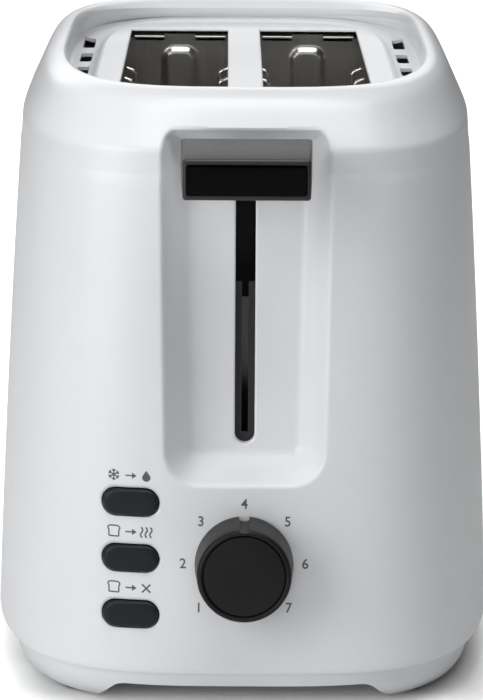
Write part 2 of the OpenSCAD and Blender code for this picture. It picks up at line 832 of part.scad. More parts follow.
// Bush in the rear wall that the mains cord leaves through
module cord_gland() in_frame() color(black)
    translate([0, end(gland_z), gland_z])
        rotate([end_lean - 90, 0, 0])
            rotate_extrude()
                polygon([
                    [gland_bore_r, -gland_depth], [gland_neck_r, -gland_depth], [gland_neck_r, 0.1],
                    [gland_r, 0.1], [gland_r, gland_face - 0.6], [gland_r - 0.8, gland_face],
                    [gland_bore_r, gland_face]
                ]);

// Compression springs that lift the carriage, one round each guide rod
function coil_point(s, a) =
    let (
        turn = 360 * s / spring_steps,
        rise = (bush_foot_z - spring_foot_z - 2 * spring_wire_r) * s / (spring_turns * spring_steps),
        r = spring_r + spring_wire_r * cos(a)
    )
        [r * cos(turn), r * sin(turn), spring_foot_z + spring_wire_r + rise + spring_wire_r * sin(a)];
module coil_spring() {
    m = spring_turns * spring_steps + 1;
    n = spring_sides;
    polyhedron(
        [for (s = [0:m - 1], i = [0:n - 1]) coil_point(s, 360 * i / n)],
        concat(
            [
                for (s = [0:m - 2], i = [0:n - 1], half = [0, 1])
                    let (a = s * n, b = a + n, j = (i + 1) % n)
                        half == 0 ? [a + i, b + i, b + j] : [a + i, b + j, a + j]
            ],
            [[for (i = [0:n - 1]) i], [for (i = [n - 1:-1:0]) (m - 1) * n + i]]
        ),
        convexity = 10
    );
}
module carriage_springs() in_frame() color(steel)
    mirrored_x()
        translate([rod_x, rod_y, 0])
            coil_spring();

// Carriage: a plate with two bushes on the rods, a neck for the lever and two lifting arms
module carriage() in_frame() color(steel)
    difference() {
        union() {
            box([-rod_x - 5, plate_y, bush_foot_z],
                [rod_x + 5, plate_y + plate_t, bush_foot_z + bush_h]);
            box([-6, plate_y, bush_foot_z], [6, plate_y + plate_t, arm_z + arm_h]);
            mirrored_x() {
                rod([rod_x, rod_y, bush_foot_z], bush_h, bush_r);
                box([slot_mid_x - 1, plate_y, lifter_z - 4],
                    [slot_mid_x + 1, -chamber_y + 3, lifter_z + 4]);
            }
            box([rod_x + 4, plate_y, bush_foot_z],
                [rod_x + tab_l, plate_y + plate_t, bush_foot_z + tab_h]);
            box([-3, plate_y, keeper_z], [3, plate_y + plate_t, bush_foot_z + bush_h]);
            box([-3, plate_y, keeper_z + keeper_t], [3, keeper_y - 2, keeper_z + keeper_t + 1.5]);
        }
        box([-10, plate_y - 1, bush_foot_z - 1], [10, plate_y + plate_t + 0.3, bush_foot_z + 10]);
        mirrored_x()
            rod([rod_x, rod_y, 0], 200, rod_r + running);
        box([-arm_t / 2, plate_y - 5, arm_z], [arm_t / 2, plate_y + plate_t + 5, arm_z + arm_h]);
    }

module lever_arm() in_frame() color(steel)
    box([-arm_t / 2, handle_front_y + 12, arm_z], [arm_t / 2, plate_y + plate_t, arm_z + arm_h]);

module armature() in_frame() color(steel)
    box([-magnet_half_w, magnet_y[1], keeper_z], [magnet_half_w, keeper_y, keeper_z + keeper_t]);

// Lever handle: a wedge with round edges, deeper at the back, with a pocket for its front panel
handle_edge = 1;
handle_flare = 0.8;
panel_w = handle_w - 1.8;
panel_h = handle_h - 2.8;
panel_t = 1.2;
module handle_side()
    offset(r = handle_edge, $fn = 32)
        polygon([
            [handle_edge, handle_edge], [handle_edge, handle_h - handle_edge],
            [handle_depth - handle_edge, handle_h + 3 - handle_edge],
            [handle_depth - handle_edge, handle_edge + 2]
        ]);
module handle_plan()
    offset(r = handle_edge, $fn = 32)
        polygon([
            [-handle_w / 2 + handle_edge, handle_edge], [handle_w / 2 - handle_edge, handle_edge],
            [handle_w / 2 + handle_flare - handle_edge, handle_depth - handle_edge],
            [-handle_w / 2 - handle_flare + handle_edge, handle_depth - handle_edge]
        ]);
module lever_handle() in_frame() color("dimgray")
    difference() {
        translate([0, handle_front_y, handle_z])
            intersection() {
                translate([-handle_w, 0, 0])
                    rotate([90, 0, 90])
                        linear_extrude(2 * handle_w)
                            handle_side();
                translate([0, 0, -handle_h])
                    linear_extrude(3 * handle_h)
                        handle_plan();
            }
        translate([0, handle_front_y + panel_t, handle_z + handle_h / 2])
            rotate([90, 0, 0])
                linear_extrude(10)
                    round_box(panel_w, panel_h, 1.2);
        box([-arm_t / 2, handle_front_y + 12, arm_z], [arm_t / 2, handle_front_y + 40, arm_z + arm_h]);
    }
module round_box(w, h, r)
    offset(r = r, $fn = 24)
        square([w - 2 * r, h - 2 * r], center = true);
module lever_panel() in_frame() color(black)
    translate([0, handle_front_y + panel_t, handle_z + handle_h / 2])
        rotate([90, 0, 0])
            linear_extrude(panel_t - 0.2)
                round_box(panel_w - 0.6, panel_h - 0.6, 1);

// Bread lifter: a folded strip with a row of slots, hung on the carriage's arm
module lifter(x) {
    difference() {
        union() {
            box([x - lifter_half_w, -72, lifter_z + 4], [x + lifter_half_w, 72, lifter_z + 4.8]);
            box([x + 1, -chamber_y + 0.6, lifter_z - 4], [x + 1.8, 72, lifter_z + 4 + eps]);
        }
        for (k = [-4:4])
            for (s = [-1, 1])
                box([x + s * 5 - 1.2, k * 15 - 5, lifter_z],
                    [x + s * 5 + 1.2, k * 15 + 5, lifter_z + 10]);
    }
}
module lifter_left() in_frame() color(steel) mirror([1, 0, 0]) lifter(slot_mid_x);
module lifter_right() in_frame() color(steel) lifter(slot_mid_x);

module crumb_tray() in_frame() color(steel) {
    box([-tray_half_w, tray_front_y, tray_z], [tray_half_w, pull_y, tray_z + sheet]);
    mirrored_x()
        box([tray_half_w - sheet, tray_front_y, tray_z + sheet - eps],
            [tray_half_w, pull_y, tray_z + tray_lip]);
    box([-tray_half_w, tray_front_y, tray_z + sheet - eps],
        [tray_half_w, tray_front_y + sheet, tray_z + tray_lip]);
}

// Grip on the tray's rear edge, bowed like the shell, with a finger hollow under it
module tray_pull() in_frame() color(white)
    difference() {
        intersection() {
            box([-pull_half_w, pull_y, pull_z], [pull_half_w, 140, pull_z + pull_h]);
            rod([0, pull_rear_y - pull_arc_r, 0], 40, pull_arc_r, $fn = 240);
        }
        box([-finger_l / 2, pull_rear_y - 5, pull_z - 1], [finger_l / 2, pull_rear_y + 1, pull_z + 4]);
    }

outer_shell();
top_deck();
base();
foot_pads();
case_screws();
front_plate();
rear_plate();
reflector_left();
reflector_right();
chassis_rails();
chassis_screws();
heater_card_left();
heater_card_center();
heater_card_right();
heater_ribbon_left();
heater_ribbon_center();
heater_ribbon_right();
guide_rods();
slot_seal();
magnet_core();
magnet_coil();
circuit_board();
board_components();
tact_switches();
board_screws();
button_bracket();
browning_control();
switch_block();
contact_leaves();
terminal_block();
cord_gland();
carriage_springs();
carriage();
lever_arm();
lever_handle();
lever_panel();
armature();
lifter_left();
lifter_right();
guard_left_outer();
guard_left_inner();
guard_right_inner();
guard_right_outer();
knob();
knob_cap();
control_shaft();
defrost_button();
reheat_button();
cancel_button();
crumb_tray();
tray_pull();
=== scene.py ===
import math

import bmesh
import bpy
import numpy as np
from mathutils import Matrix, Vector


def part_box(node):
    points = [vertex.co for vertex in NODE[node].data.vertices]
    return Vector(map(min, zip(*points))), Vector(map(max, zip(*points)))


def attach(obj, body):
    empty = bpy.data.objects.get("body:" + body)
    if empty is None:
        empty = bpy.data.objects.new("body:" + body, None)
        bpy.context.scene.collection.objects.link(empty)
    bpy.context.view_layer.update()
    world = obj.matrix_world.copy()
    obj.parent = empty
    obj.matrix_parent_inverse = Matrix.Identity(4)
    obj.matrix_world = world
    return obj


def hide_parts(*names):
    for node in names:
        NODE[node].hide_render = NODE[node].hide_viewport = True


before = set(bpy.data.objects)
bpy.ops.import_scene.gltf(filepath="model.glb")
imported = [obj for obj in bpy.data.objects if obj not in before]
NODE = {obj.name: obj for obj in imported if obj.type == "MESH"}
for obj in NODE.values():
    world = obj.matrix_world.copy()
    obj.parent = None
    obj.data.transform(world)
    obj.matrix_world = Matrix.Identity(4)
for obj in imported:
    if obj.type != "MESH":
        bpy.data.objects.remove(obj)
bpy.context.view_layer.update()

# ---------------------------------------------------------------- sizes, in millimetres
# Lengths are worked out in millimetres with Y measured from the middle of the shell.


def box_mm(node):
    low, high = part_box(node)
    return np.array(low) * 1000, np.array(high) * 1000


shell_low, shell_high = box_mm("outer_shell")
FRAME_Y = (shell_low[1] + shell_high[1]) / 2
BODY_A = (shell_high[0] - shell_low[0]) / 2
BODY_B = (shell_high[1] - shell_low[1]) / 2
BODY_H = shell_high[2]
SKIRT_Z = 13.0
FLOOR_Z = 8.7
WALL = 2.5
POWER = 3.6
LEAN = math.radians(3.66)
SIDE_TAPER = 0.0385
SIDE_CURVE = 0.0001
SHOULDER_Z = 164.0
SHOULDER_W = 11.3
SHOULDER_L = 17.0
SHOULDER_H = BODY_H - SHOULDER_Z
BROW_RISE = 8.0  # from the shoulder's start to the brow, and below to the end of the flat slope
SLOPE_RISE = 22.5
BROW_BLEND = 0.03
SLOPE_BLEND = 0.06
RIM_DIP = 2.0
LIP_A = 57.5
LIP_B = 98.0
LIP_Z = BODY_H - 0.6
LIP_DIP = 4.3
DECK_Z = 180.7
SLOT_EDGE_T = 0.9
SLOT_IN = 5.6
SLOT_OUT = 39.5
SLOT_MID = (SLOT_IN + SLOT_OUT) / 2
SLOT_HALF_W = (SLOT_OUT - SLOT_IN) / 2
SLOT_Y = 74.4
VENTS = 5
VENT_X = 53.6
VENT_W = 4.0
VENT_L = 17.0
VENT_PITCH = 28.0
ARCH_HALF_X = 39.0
ARCH_HALF_Y = 80.0
RECESS_DEPTH = 12.0
RECESS_TOP = 178.7
RECESS_FOOT = 71.3
RECESS_HALF_TOP = 25.4
RECESS_HALF_FOOT = 23.9
RECESS_DRAFT = 5.0
RECESS_FOOT_R = 10.0
RECESS_TOP_R = 5.0
RECESS_MIX = 25.0  # from the foot and from the top, between which the corner radius changes
RECESS_REACH = 6.0  # outside its outline, where the round of its edge ends
RECESS_FLOOR_BLEND = 9.0
RECESS_EDGE_BLEND = 2.2
FRONT_Y = -60.0
FRONT_HALF_W = 48.0
# Radius and depth of the roll at the edge of each kind of opening
LEVER_SLOT_ROLL = (0.7, 0.6)
BUTTON_ROLL = (0.6, 0.45)
DECK_SLOT_ROLL = (0.7, 0.5)
LEVER_SLOT_W = 6.0
LEVER_SLOT_FOOT = 81.0
LEVER_SLOT_TOP = 172.0
SLOT_MID_Z = (LEVER_SLOT_FOOT + LEVER_SLOT_TOP) / 2
SLOT_SPAN = LEVER_SLOT_TOP - LEVER_SLOT_FOOT
KNOB_Z = 47.4
BUTTON_X = -34.2
BUTTON_Z = 48.5
BUTTON_PITCH = 17.2
BUTTON_ZS = [BUTTON_Z + k * BUTTON_PITCH for k in (1, 0, -1)]
SIGN_RISE = 8.0
SIGN_LEFT = -5.0
SIGN_RIGHT = 4.8
BUTTON_L = 16.8
BUTTON_H = 8.1
BUTTON_GAP = 0.4
BUTTON_HOLE = (BUTTON_L + 2 * BUTTON_GAP, BUTTON_H + 2 * BUTTON_GAP)
BUTTON_YAW = math.tan(math.radians(10.5))
BUTTON_PROUD = 0.8
GUARD_FOOT = 34.0
GUARD_BAR = 154.0
GUARD_BEND = 166.2
WIRE_R = 0.8
PIVOT_R = 1.25
SHAFT_HOLE_R = 5.0
GLAND_Z = 40.0
GLAND_HOLE_R = 6.0
SCREW_X = 58.0
SCREW_Y = 94.0
SCREW_HEAD_R = 4.6
SCREW_SHANK_R = 2.1
FOOT_X = 50.0
FOOT_Y = 105.0
SCALE_START = 225
SCALE_STEP = 45
SCALE_R = 18.4
SCALE_END_R = 19.2
DIGIT_SIZE = 4.3
DIGIT_SQUASH = 0.95
INK_LOW = -0.05
INK_HIGH = 0.04


def up(z):
    return z - SKIRT_Z


def slant(z):
    """Length up the leaning face from the skirt to a height."""
    return up(z) / math.cos(LEAN)


def side(z):
    """Half the shell's width at a height."""
    return BODY_A - SIDE_TAPER * up(z) - SIDE_CURVE * up(z) ** 2


def end(z):
    """Half the shell's length at a height."""
    return BODY_B - math.tan(LEAN) * up(z)


def face_bow(x, z):
    """How far the bowed front falls back at x from its middle."""
    return end(z) * (1 - (1 - (np.abs(x) / side(z)) ** POWER) ** (1 / POWER))


def to_frame(points):
    """Millimetres about the shell's middle to metres in the row frame."""
    p = np.array(points, float).reshape(-1, 3).copy()
    p[:, 1] += FRAME_Y
    return p / 1000


FACE_OUT = np.array([0, -math.cos(LEAN), math.sin(LEAN)])
FACE_UP = np.array([0, math.sin(LEAN), math.cos(LEAN)])
FACE_RIGHT = np.array([1.0, 0, 0])


def on_face(x, z, points):
    """Points given as right, up and out on the leaning face, about (x, z) on it."""
    p = np.array(points, float).reshape(-1, 3)
    at = np.array([x, -end(z), z])
    return at + p[:, :1] * FACE_RIGHT + p[:, 1:2] * FACE_UP + p[:, 2:] * FACE_OUT


def smooth_min(a, b, k):
    """The lesser of two values, blended where they differ by less than k."""
    h = np.maximum(k - np.abs(a - b), 0) / k
    return np.minimum(a, b) - h * h * k / 4


def smooth_max(a, b, k):
    return -smooth_min(-a, -b, k)


# ---------------------------------------------------------------- materials


class Nodes:
    """Short names for building a node material."""

    def __init__(self, name):
        self.mat = bpy.data.materials.new(name)
        self.mat.use_nodes = True
        self.tree = self.mat.node_tree
        self.bsdf = self.tree.nodes["Principled BSDF"]
        self.coord = self.tree.nodes.new("ShaderNodeTexCoord").outputs["Object"]

    def node(self, kind, **values):
        n = self.tree.nodes.new(kind)
        for key, value in values.items():
            setattr(n, key, value)
        return n

    def link(self, a, b):
        self.tree.links.new(a, b)

    def stretched(self, scale):
        m = self.node("ShaderNodeMapping")
        m.inputs["Scale"].default_value = scale
        self.link(self.coord, m.inputs["Vector"])
        return m.outputs["Vector"]

    def texture(self, kind, scale, vector=None, **values):
        n = self.node(kind, **values)
        n.inputs["Scale"].default_value = scale
        self.link(vector or self.coord, n.inputs["Vector"])
        return n

    def noise(self, scale, detail=3.0, rough=0.55, vector=None):
        n = self.texture("ShaderNodeTexNoise", scale, vector)
        n.inputs["Detail"].default_value = detail
        n.inputs["Roughness"].default_value = rough
        return n.outputs["Fac"]

    def cells(self, scale, vector=None):
        return self.texture("ShaderNodeTexVoronoi", scale, vector).outputs["Distance"]

    def ramp(self, fac, stops):
        r = self.node("ShaderNodeValToRGB")
        while len(r.color_ramp.elements) < len(stops):
            r.color_ramp.elements.new(0.5)
        for e, (at, colour) in zip(r.color_ramp.elements, stops):
            e.position = at
            e.color = (*colour, 1)
        self.link(fac, r.inputs["Fac"])
        return r.outputs["Color"]

    def mapped(self, fac, low, high):
        m = self.node("ShaderNodeMapRange")
        m.inputs["To Min"].default_value = low
        m.inputs["To Max"].default_value = high
        self.link(fac, m.inputs["Value"])
        return m.outputs["Result"]

    def maths(self, operation, a, b):
        m = self.node("ShaderNodeMath", operation=operation)
        for socket, value in zip(m.inputs, (a, b)):
            if isinstance(value, (int, float)):
                socket.default_value = value
            else:
                self.link(value, socket)
        return m.outputs["Value"]

    def colour(self, socket):
        self.link(socket, self.bsdf.inputs["Base Color"])

    def roughness(self, fac, low, high):
        self.link(self.mapped(fac, low, high), self.bsdf.inputs["Roughness"])

    def bump(self, height, distance, strength=1.0, after=None):
        b = self.node("ShaderNodeBump")
        b.inputs["Strength"].default_value = strength
        b.inputs["Distance"].default_value = distance
        self.link(height, b.inputs["Height"])
        if after is not None:
            self.link(after, b.inputs["Normal"])
        self.link(b.outputs["Normal"], self.bsdf.inputs["Normal"])
        return b.outputs["Normal"]


def shades(colour, spread):
    """A colour a little darker and a little lighter."""
    return [tuple(max(0, c * (1 + s * spread)) for c in colour) for s in (-1, 1)]


def plastic(name, colour, rough, grain, spread, specular):
    """Moulded plastic: faint blotches in colour and gloss, a fine spark-eroded grain, faint scuffs."""
    n = Nodes(name)
    dark, light = shades(colour, spread)
    broad = n.noise(28, 4)
    n.colour(n.ramp(broad, [(0.3, dark), (0.7, light)]))
    scuffs = n.noise(900, 2, 0.5, n.stretched((1, 0.15, 0.4)))
    gloss = n.maths("ADD", n.maths("MULTIPLY", broad, 0.6), n.maths("MULTIPLY", scuffs, 0.4))
    n.roughness(gloss, rough * 0.86, rough * 1.16)
    if grain:
        first = n.bump(n.noise(2600, 2, 0.6), grain)
        n.bump(n.noise(160, 2), grain * 1.6, 0.6, after=first)
    n.bsdf.inputs["Specular IOR Level"].default_value = specular
    return n.mat


def sheet_steel(name, colour, rough, brush, spread, spangle=0.0):
    """Rolled sheet steel with rolling lines, soft stains and, if zinc coated, a faint spangle."""
    n = Nodes(name)
    dark, light = shades(colour, spread)
    lines = n.noise(1500, 3, 0.6, n.stretched(brush))
    stains = n.noise(45, 5, 0.6)
    mixed = n.maths("ADD", n.maths("MULTIPLY", lines, 0.45), n.maths("MULTIPLY", stains, 0.55))
    if spangle:
        cells = n.cells(240)
        mixed = n.maths("ADD", mixed, n.maths("MULTIPLY", cells, spangle))
    n.colour(n.ramp(mixed, [(0.3, dark), (0.75, light)]))
    n.roughness(mixed, rough * 0.7, rough * 1.35)
    n.bump(lines, 0.00002, 0.5)
    n.bsdf.inputs["Metallic"].default_value = 1.0
    return n.mat


def wire_steel(name):
    """Bright drawn wire with fine marks along it."""
    n = Nodes(name)
    marks = n.noise(700, 3, 0.6, n.stretched((1, 0.2, 0.2)))
    n.colour(n.ramp(marks, [(0.3, (0.62, 0.61, 0.6)), (0.7, (0.86, 0.86, 0.87))]))
    n.roughness(marks, 0.14, 0.3)
    n.bump(marks, 0.00002, 0.4)
    n.bsdf.inputs["Metallic"].default_value = 1.0
    return n.mat


def mica_sheet(name):
    """Pressed mica: overlapping pale flakes with darker seams between them."""
    n = Nodes(name)
    flakes = n.cells(130, vector=n.stretched((1, 1, 1.4)))
    fine = n.noise(500, 4)
    mixed = n.maths("ADD", n.maths("MULTIPLY", flakes, 1.1), n.maths("MULTIPLY", fine, 0.35))
    n.colour(n.ramp(mixed, [(0.2, (0.66, 0.6, 0.49)), (0.5, (0.52, 0.44, 0.33)), (0.85, (0.36, 0.29, 0.2))]))
    n.roughness(mixed, 0.32, 0.62)
    n.bump(mixed, 0.00008, 0.6)
    return n.mat


def oxide_ribbon(name):
    """Heating ribbon, darkened and tinted by heat."""
    n = Nodes(name)
    heat = n.noise(60, 3)
    n.colour(n.ramp(heat, [(0.3, (0.2, 0.17, 0.16)), (0.55, (0.36, 0.33, 0.31)), (0.8, (0.3, 0.24, 0.18))]))
    n.roughness(n.noise(1800, 2), 0.35, 0.6)
    n.bump(n.noise(1200, 2, 0.5, n.stretched((1, 0.05, 1))), 0.00002, 0.5)
    n.bsdf.inputs["Metallic"].default_value = 0.9
    return n.mat


def wound_copper(name):
    """Lacquered copper wire in close turns."""
    n = Nodes(name)
    turns = n.texture("ShaderNodeTexWave", 820, bands_direction="Z").outputs["Fac"]
    n.colour(n.ramp(turns, [(0.1, (0.2, 0.07, 0.03)), (0.6, (0.72, 0.33, 0.16))]))
    n.roughness(n.noise(300, 3), 0.22, 0.4)
    n.bump(turns, 0.00015)
    n.bsdf.inputs["Metallic"].default_value = 0.9
    return n.mat


def printed_board(name):
    """Green solder mask with copper tracks that show through it."""
    n = Nodes(name)
    tracks = n.texture("ShaderNodeTexBrick", 120)
    tracks.inputs["Mortar Size"].default_value = 0.05
    n.colour(n.ramp(tracks.outputs["Fac"], [(0.2, (0.02, 0.11, 0.045)), (0.8, (0.04, 0.2, 0.08))]))
    n.roughness(n.noise(400, 3), 0.28, 0.45)
    n.bump(tracks.outputs["Fac"], 0.00004)
    return n.mat


def rubber(name):
    """Black rubber with a little dust on it."""
    n = Nodes(name)
    dust = n.noise(350, 4)
    n.colour(n.ramp(dust, [(0.35, (0.022, 0.022, 0.023)), (0.75, (0.06, 0.06, 0.058))]))
    n.roughness(dust, 0.62, 0.86)
    n.bump(n.noise(2200, 2), 0.00006)
    return n.mat


def printed_ink(name):
    """Pad-printed marks: flat dark ink with slightly uneven cover."""
    n = Nodes(name)
    cover = n.noise(1500, 3)
    n.colour(n.ramp(cover, [(0.3, (0.075, 0.077, 0.08)), (0.75, (0.14, 0.143, 0.147))]))
    n.roughness(cover, 0.42, 0.6)
    return n.mat


# Colour, roughness, depth of grain in metres, spread of shade, specular level
PLASTICS = {
    "shell_plastic": ((0.8, 0.812, 0.83), 0.3, 0.000012, 0.012, 0.5),
    "base_plastic": ((0.77, 0.782, 0.8), 0.45, 0.000014, 0.015, 0.4),
    "component_plastic": ((0.035, 0.035, 0.04), 0.5, 0.00004, 0.2, 0.5),
    "natural_plastic": ((0.74, 0.72, 0.65), 0.5, 0.00002, 0.05, 0.5),
    "black_plastic": ((0.014, 0.014, 0.016), 0.5, 0.00004, 0.25, 0.5),
    "handle_plastic": ((0.02, 0.02, 0.021), 0.36, 0.00001, 0.15, 0.5),
    "panel_gloss": ((0.0012, 0.0012, 0.0013), 0.1, 0.0, 0.3, 0.1),
    "knob_plastic": ((0.01, 0.01, 0.0105), 0.4, 0.00002, 0.2, 0.22),
    "button_plastic": ((0.009, 0.011, 0.0125), 0.34, 0.00001, 0.2, 0.28),
}
# Colour, roughness, stretch of the rolling lines, spread of shade, spangle
STEELS = {
    "zinc_steel": ((0.62, 0.63, 0.65), 0.36, (1, 0.05, 1), 0.12, 0.35),
    "chamber_steel": ((0.5, 0.495, 0.48), 0.3, (1, 1, 0.04), 0.1),
    "brass": ((0.78, 0.58, 0.28), 0.3, (1, 0.1, 1), 0.12),
    # painted shade: near-black steel for the carriage, standing in for the shade inside the lever's slot
    "dark_steel": ((0.035, 0.035, 0.037), 0.5, (1, 0.05, 1), 0.3),
}
OTHERS = {
    "foot_rubber": rubber, "guard_wire": wire_steel, "mica": mica_sheet, "heating_ribbon": oxide_ribbon,
    "copper_wire": wound_copper, "board": printed_board, "printed_marks": printed_ink,
}
MATERIAL = {name: plastic(name, *values) for name, values in PLASTICS.items()}
MATERIAL |= {name: sheet_steel(name, *values) for name, values in STEELS.items()}
MATERIAL |= {name: make(name) for name, make in OTHERS.items()}

SLOT_NODES = {
    "shell_plastic": "outer_shell top_deck tray_pull",
    "base_plastic": "base",
    "foot_rubber": "foot_pads",
    "zinc_steel": "case_screws chassis_rails chassis_screws magnet_core board_screws browning_control"
                  " lever_arm armature control_shaft",
    "chamber_steel": "front_plate rear_plate reflector_left reflector_right lifter_left lifter_right crumb_tray",
    # painted shade: the carriage is coloured near black for the shade behind the lever's slot
    "dark_steel": "carriage",
    "mica": "heater_card_left heater_card_center heater_card_right",
    "heating_ribbon": "heater_ribbon_left heater_ribbon_center heater_ribbon_right",
    "guard_wire": "guide_rods carriage_springs guard_left_outer guard_left_inner guard_right_inner"
                  " guard_right_outer",
    "black_plastic": "slot_seal cord_gland",
    "copper_wire": "magnet_coil",
    "board": "circuit_board",
    "component_plastic": "board_components tact_switches switch_block",
    "natural_plastic": "button_bracket terminal_block",
    "brass": "contact_leaves",
    "handle_plastic": "lever_handle",
    "panel_gloss": "lever_panel",
    "knob_plastic": "knob knob_cap",
    "button_plastic": "defrost_button reheat_button cancel_button",
}
for slot_name, node_names in SLOT_NODES.items():
    for node_name in node_names.split():
        NODE[node_name].data.materials.clear()
        NODE[node_name].data.materials.append(MATERIAL[slot_name])

# ---------------------------------------------------------------- mesh helpers


def face_outwards(mesh):
    bm = bmesh.new()
    bm.from_mesh(mesh)
    bmesh.ops.recalc_face_normals(bm, faces=bm.faces)
    bm.to_mesh(mesh)
    bm.free()


def mesh_from(name, points, faces):
    """A mesh from points in millimetres about the shell's middle."""
    mesh = bpy.data.meshes.new(name)
    mesh.from_pydata([tuple(p) for p in to_frame(points)], [], [tuple(f) for f in faces])
    return mesh


def linked(name, data):
    obj = bpy.data.objects.new(name, data)
    bpy.context.scene.collection.objects.link(obj)
    return obj


def piece(name, skin, body, slot, replaces, sharp, cutters=()):
    """A mesh piece from (points, faces) in millimetres, cut by closed cutters, riding on a body."""
    mesh = mesh_from(name, *skin)
    mesh.validate()
    obj = linked(name, mesh)
    if cutters:
        cut(obj, cutters)
    dress(obj, body, slot, sharp)
    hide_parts(*replaces)


def dress(obj, body, slot, sharp=30):
    """Smooths a piece up to its sharp edges and gives it its body and its material."""
    face_outwards(obj.data)
    for polygon in obj.data.polygons:
        polygon.use_smooth = True
    obj.data.set_sharp_from_angle(angle=math.radians(sharp))
    obj.data.materials.clear()
    obj.data.materials.append(MATERIAL[slot])
    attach(obj, body)


def cut(obj, cutters):
    """Takes closed (points, faces) blocks in millimetres out of a mesh."""
    tools = []
    for skin in cutters:
        mesh = mesh_from("cutter", *skin)
        face_outwards(mesh)
        tools.append(linked("cutter", mesh))
        modifier = obj.modifiers.new("cut", "BOOLEAN")
        modifier.operation = "DIFFERENCE"
        modifier.object = tools[-1]
        modifier.solver = "MANIFOLD"
    face_outwards(obj.data)
    graph = bpy.context.evaluated_depsgraph_get()
    result = bpy.data.meshes.new_from_object(obj.evaluated_get(graph))
    obj.modifiers.clear()
    obj.data = result
    for tool in tools:
        bpy.data.objects.remove(tool)


def grid_faces(rows, columns, wrap):
    """Quads between successive rows of points."""
    span = columns if wrap else columns - 1
    return [
        (r * columns + c, r * columns + (c + 1) % columns,
         (r + 1) * columns + (c + 1) % columns, (r + 1) * columns + c)
        for r in range(rows - 1) for c in range(span)
    ]


def grid_border(rows, columns):
    """Indices round the edge of a grid of points, in order."""
    border = list(range(columns)) + [r * columns + columns - 1 for r in range(1, rows)]
    border += [(rows - 1) * columns + c for c in range(columns - 2, -1, -1)]
    return border + [r * columns for r in range(rows - 2, 0, -1)]


def loft(loops, joined=False):
    """Points and faces of a skin through closed loops of equal length, capped or joined end to end."""
    loops = [np.asarray(l, float) for l in loops]
    n = len(loops[0])
    last = (len(loops) - 1) * n
    faces = grid_faces(len(loops), n, True)
    if joined:
        faces += [(last + c, last + (c + 1) % n, (c + 1) % n, c) for c in range(n)]
    else:
        faces += [tuple(range(n)), tuple(range(last + n - 1, last - 1, -1))]
    return np.concatenate(loops), faces


def level(outline, height):
    """A flat outline's points with a third coordinate added."""
    return np.column_stack([outline, np.full(len(outline), height)])


def corners(x, y):
    return [np.array([sx * x, sy * y]) for sx in (-1, 1) for sy in (-1, 1)]


def block(low, high):
    """A box's points and faces, for cutting and for plain bars."""
    (x0, y0, z0), (x1, y1, z1) = low, high
    points = [(x, y, z) for z in (z0, z1) for x, y in ((x0, y0), (x1, y0), (x1, y1), (x0, y1))]
    return points, [(0, 1, 2, 3), (4, 5, 6, 7), (0, 1, 5, 4), (1, 2, 6, 5), (2, 3, 7, 6), (3, 0, 4, 7)]


def merged(*parts):
    """Several (points, faces) as one."""
    points, faces, base = [], [], 0
    for p, f in parts:
        p = np.asarray(p, float)
        points.append(p)
        faces += [tuple(i + base for i in face) for face in f]
        base += len(p)
    return np.concatenate(points), faces


def stadium(length, height, steps=14):
    """Outline of a stadium, anticlockwise from its lower right."""
    r, half = height / 2, (length - height) / 2
    angles = np.linspace(-math.pi / 2, math.pi / 2, steps + 1)
    right = [(half + r * math.cos(a), r * math.sin(a)) for a in angles]
    return np.array(right + [(-x, -y) for x, y in right])


def circle(radius, steps):
    a = np.arange(steps) * 2 * math.pi / steps
    return np.stack([radius * np.cos(a), radius * np.sin(a)], 1)


def round_rectangle(width, height, radius, steps=5):
    """Outline of a rectangle with rounded corners, anticlockwise from its right."""
    points = []
    for sx, sy, start in ((1, 1, 0), (-1, 1, 90), (-1, -1, 180), (1, -1, 270)):
        for k in range(steps + 1):
            a = math.radians(start + 90 * k / steps)
            points.append((
                sx * (width / 2 - radius) + radius * math.cos(a),
                sy * (height / 2 - radius) + radius * math.sin(a),
            ))
    return np.array(points)


def lathe_on_face(x, z, profile, steps):
    """Rings round the face's outward normal from (radius, out) pairs."""
    return [on_face(x, z, level(circle(max(radius, 0.001), steps), out)) for radius, out in profile]


# ---------------------------------------------------------------- shell


def bands(*limits):
    """Values over successive ranges, each given as its start, stop and step."""
    return np.concatenate([np.arange(*band) for band in limits])


def unit_outline():
    """Points of the unit superellipse: close together across the front's controls, wider elsewhere."""
    half_w, half_l, spacing = 76.0, 130.0, 2.7
    both_sides = ((0, 2.3, 0.75), (2.4, 4.5, 0.2), (5.0, 14, 1.5), (14.5, 28, 0.6))
    left = bands(*both_sides, (28.3, 45, 0.45), (46, 52, 1.5))
    right = bands(*both_sides, (28.5, 52, 1.5))
    front_x = np.concatenate([-left[::-1], right[1:]]) / half_w
    front = np.stack([front_x, -(1 - np.abs(front_x) ** POWER) ** (1 / POWER)], 1)
    t = np.linspace(0, 2 * math.pi, 20001)
    full = np.stack([
        np.sign(np.cos(t)) * np.abs(np.cos(t)) ** (2 / POWER),
        np.sign(np.sin(t)) * np.abs(np.sin(t)) ** (2 / POWER),
    ], 1)
    turn = np.unwrap(np.arctan2(full[:, 1], full[:, 0]))
    start = math.atan2(front[-1][1], front[-1][0])
    stop = math.atan2(front[0][1], front[0][0]) + 2 * math.pi
    both = np.concatenate([full[:-1], full])
    turns = np.concatenate([turn[:-1], turn + 2 * math.pi]) - 2 * math.pi
    keep = (turns > start) & (turns < stop)
    arc = both[keep]
    real = arc * np.array([half_w, half_l])
    run = np.concatenate([[0], np.cumsum(np.linalg.norm(np.diff(real, axis=0), axis=1))])
    count = int(run[-1] / spacing)
    at = np.linspace(0, run[-1], count + 1)[1:-1]
    rest = np.stack([np.interp(at, run, arc[:, 0]), np.interp(at, run, arc[:, 1])], 1)
    rest /= ((np.abs(rest) ** POWER).sum(1) ** (1 / POWER))[:, None]
    return np.concatenate([front, rest])


UNIT = unit_outline()


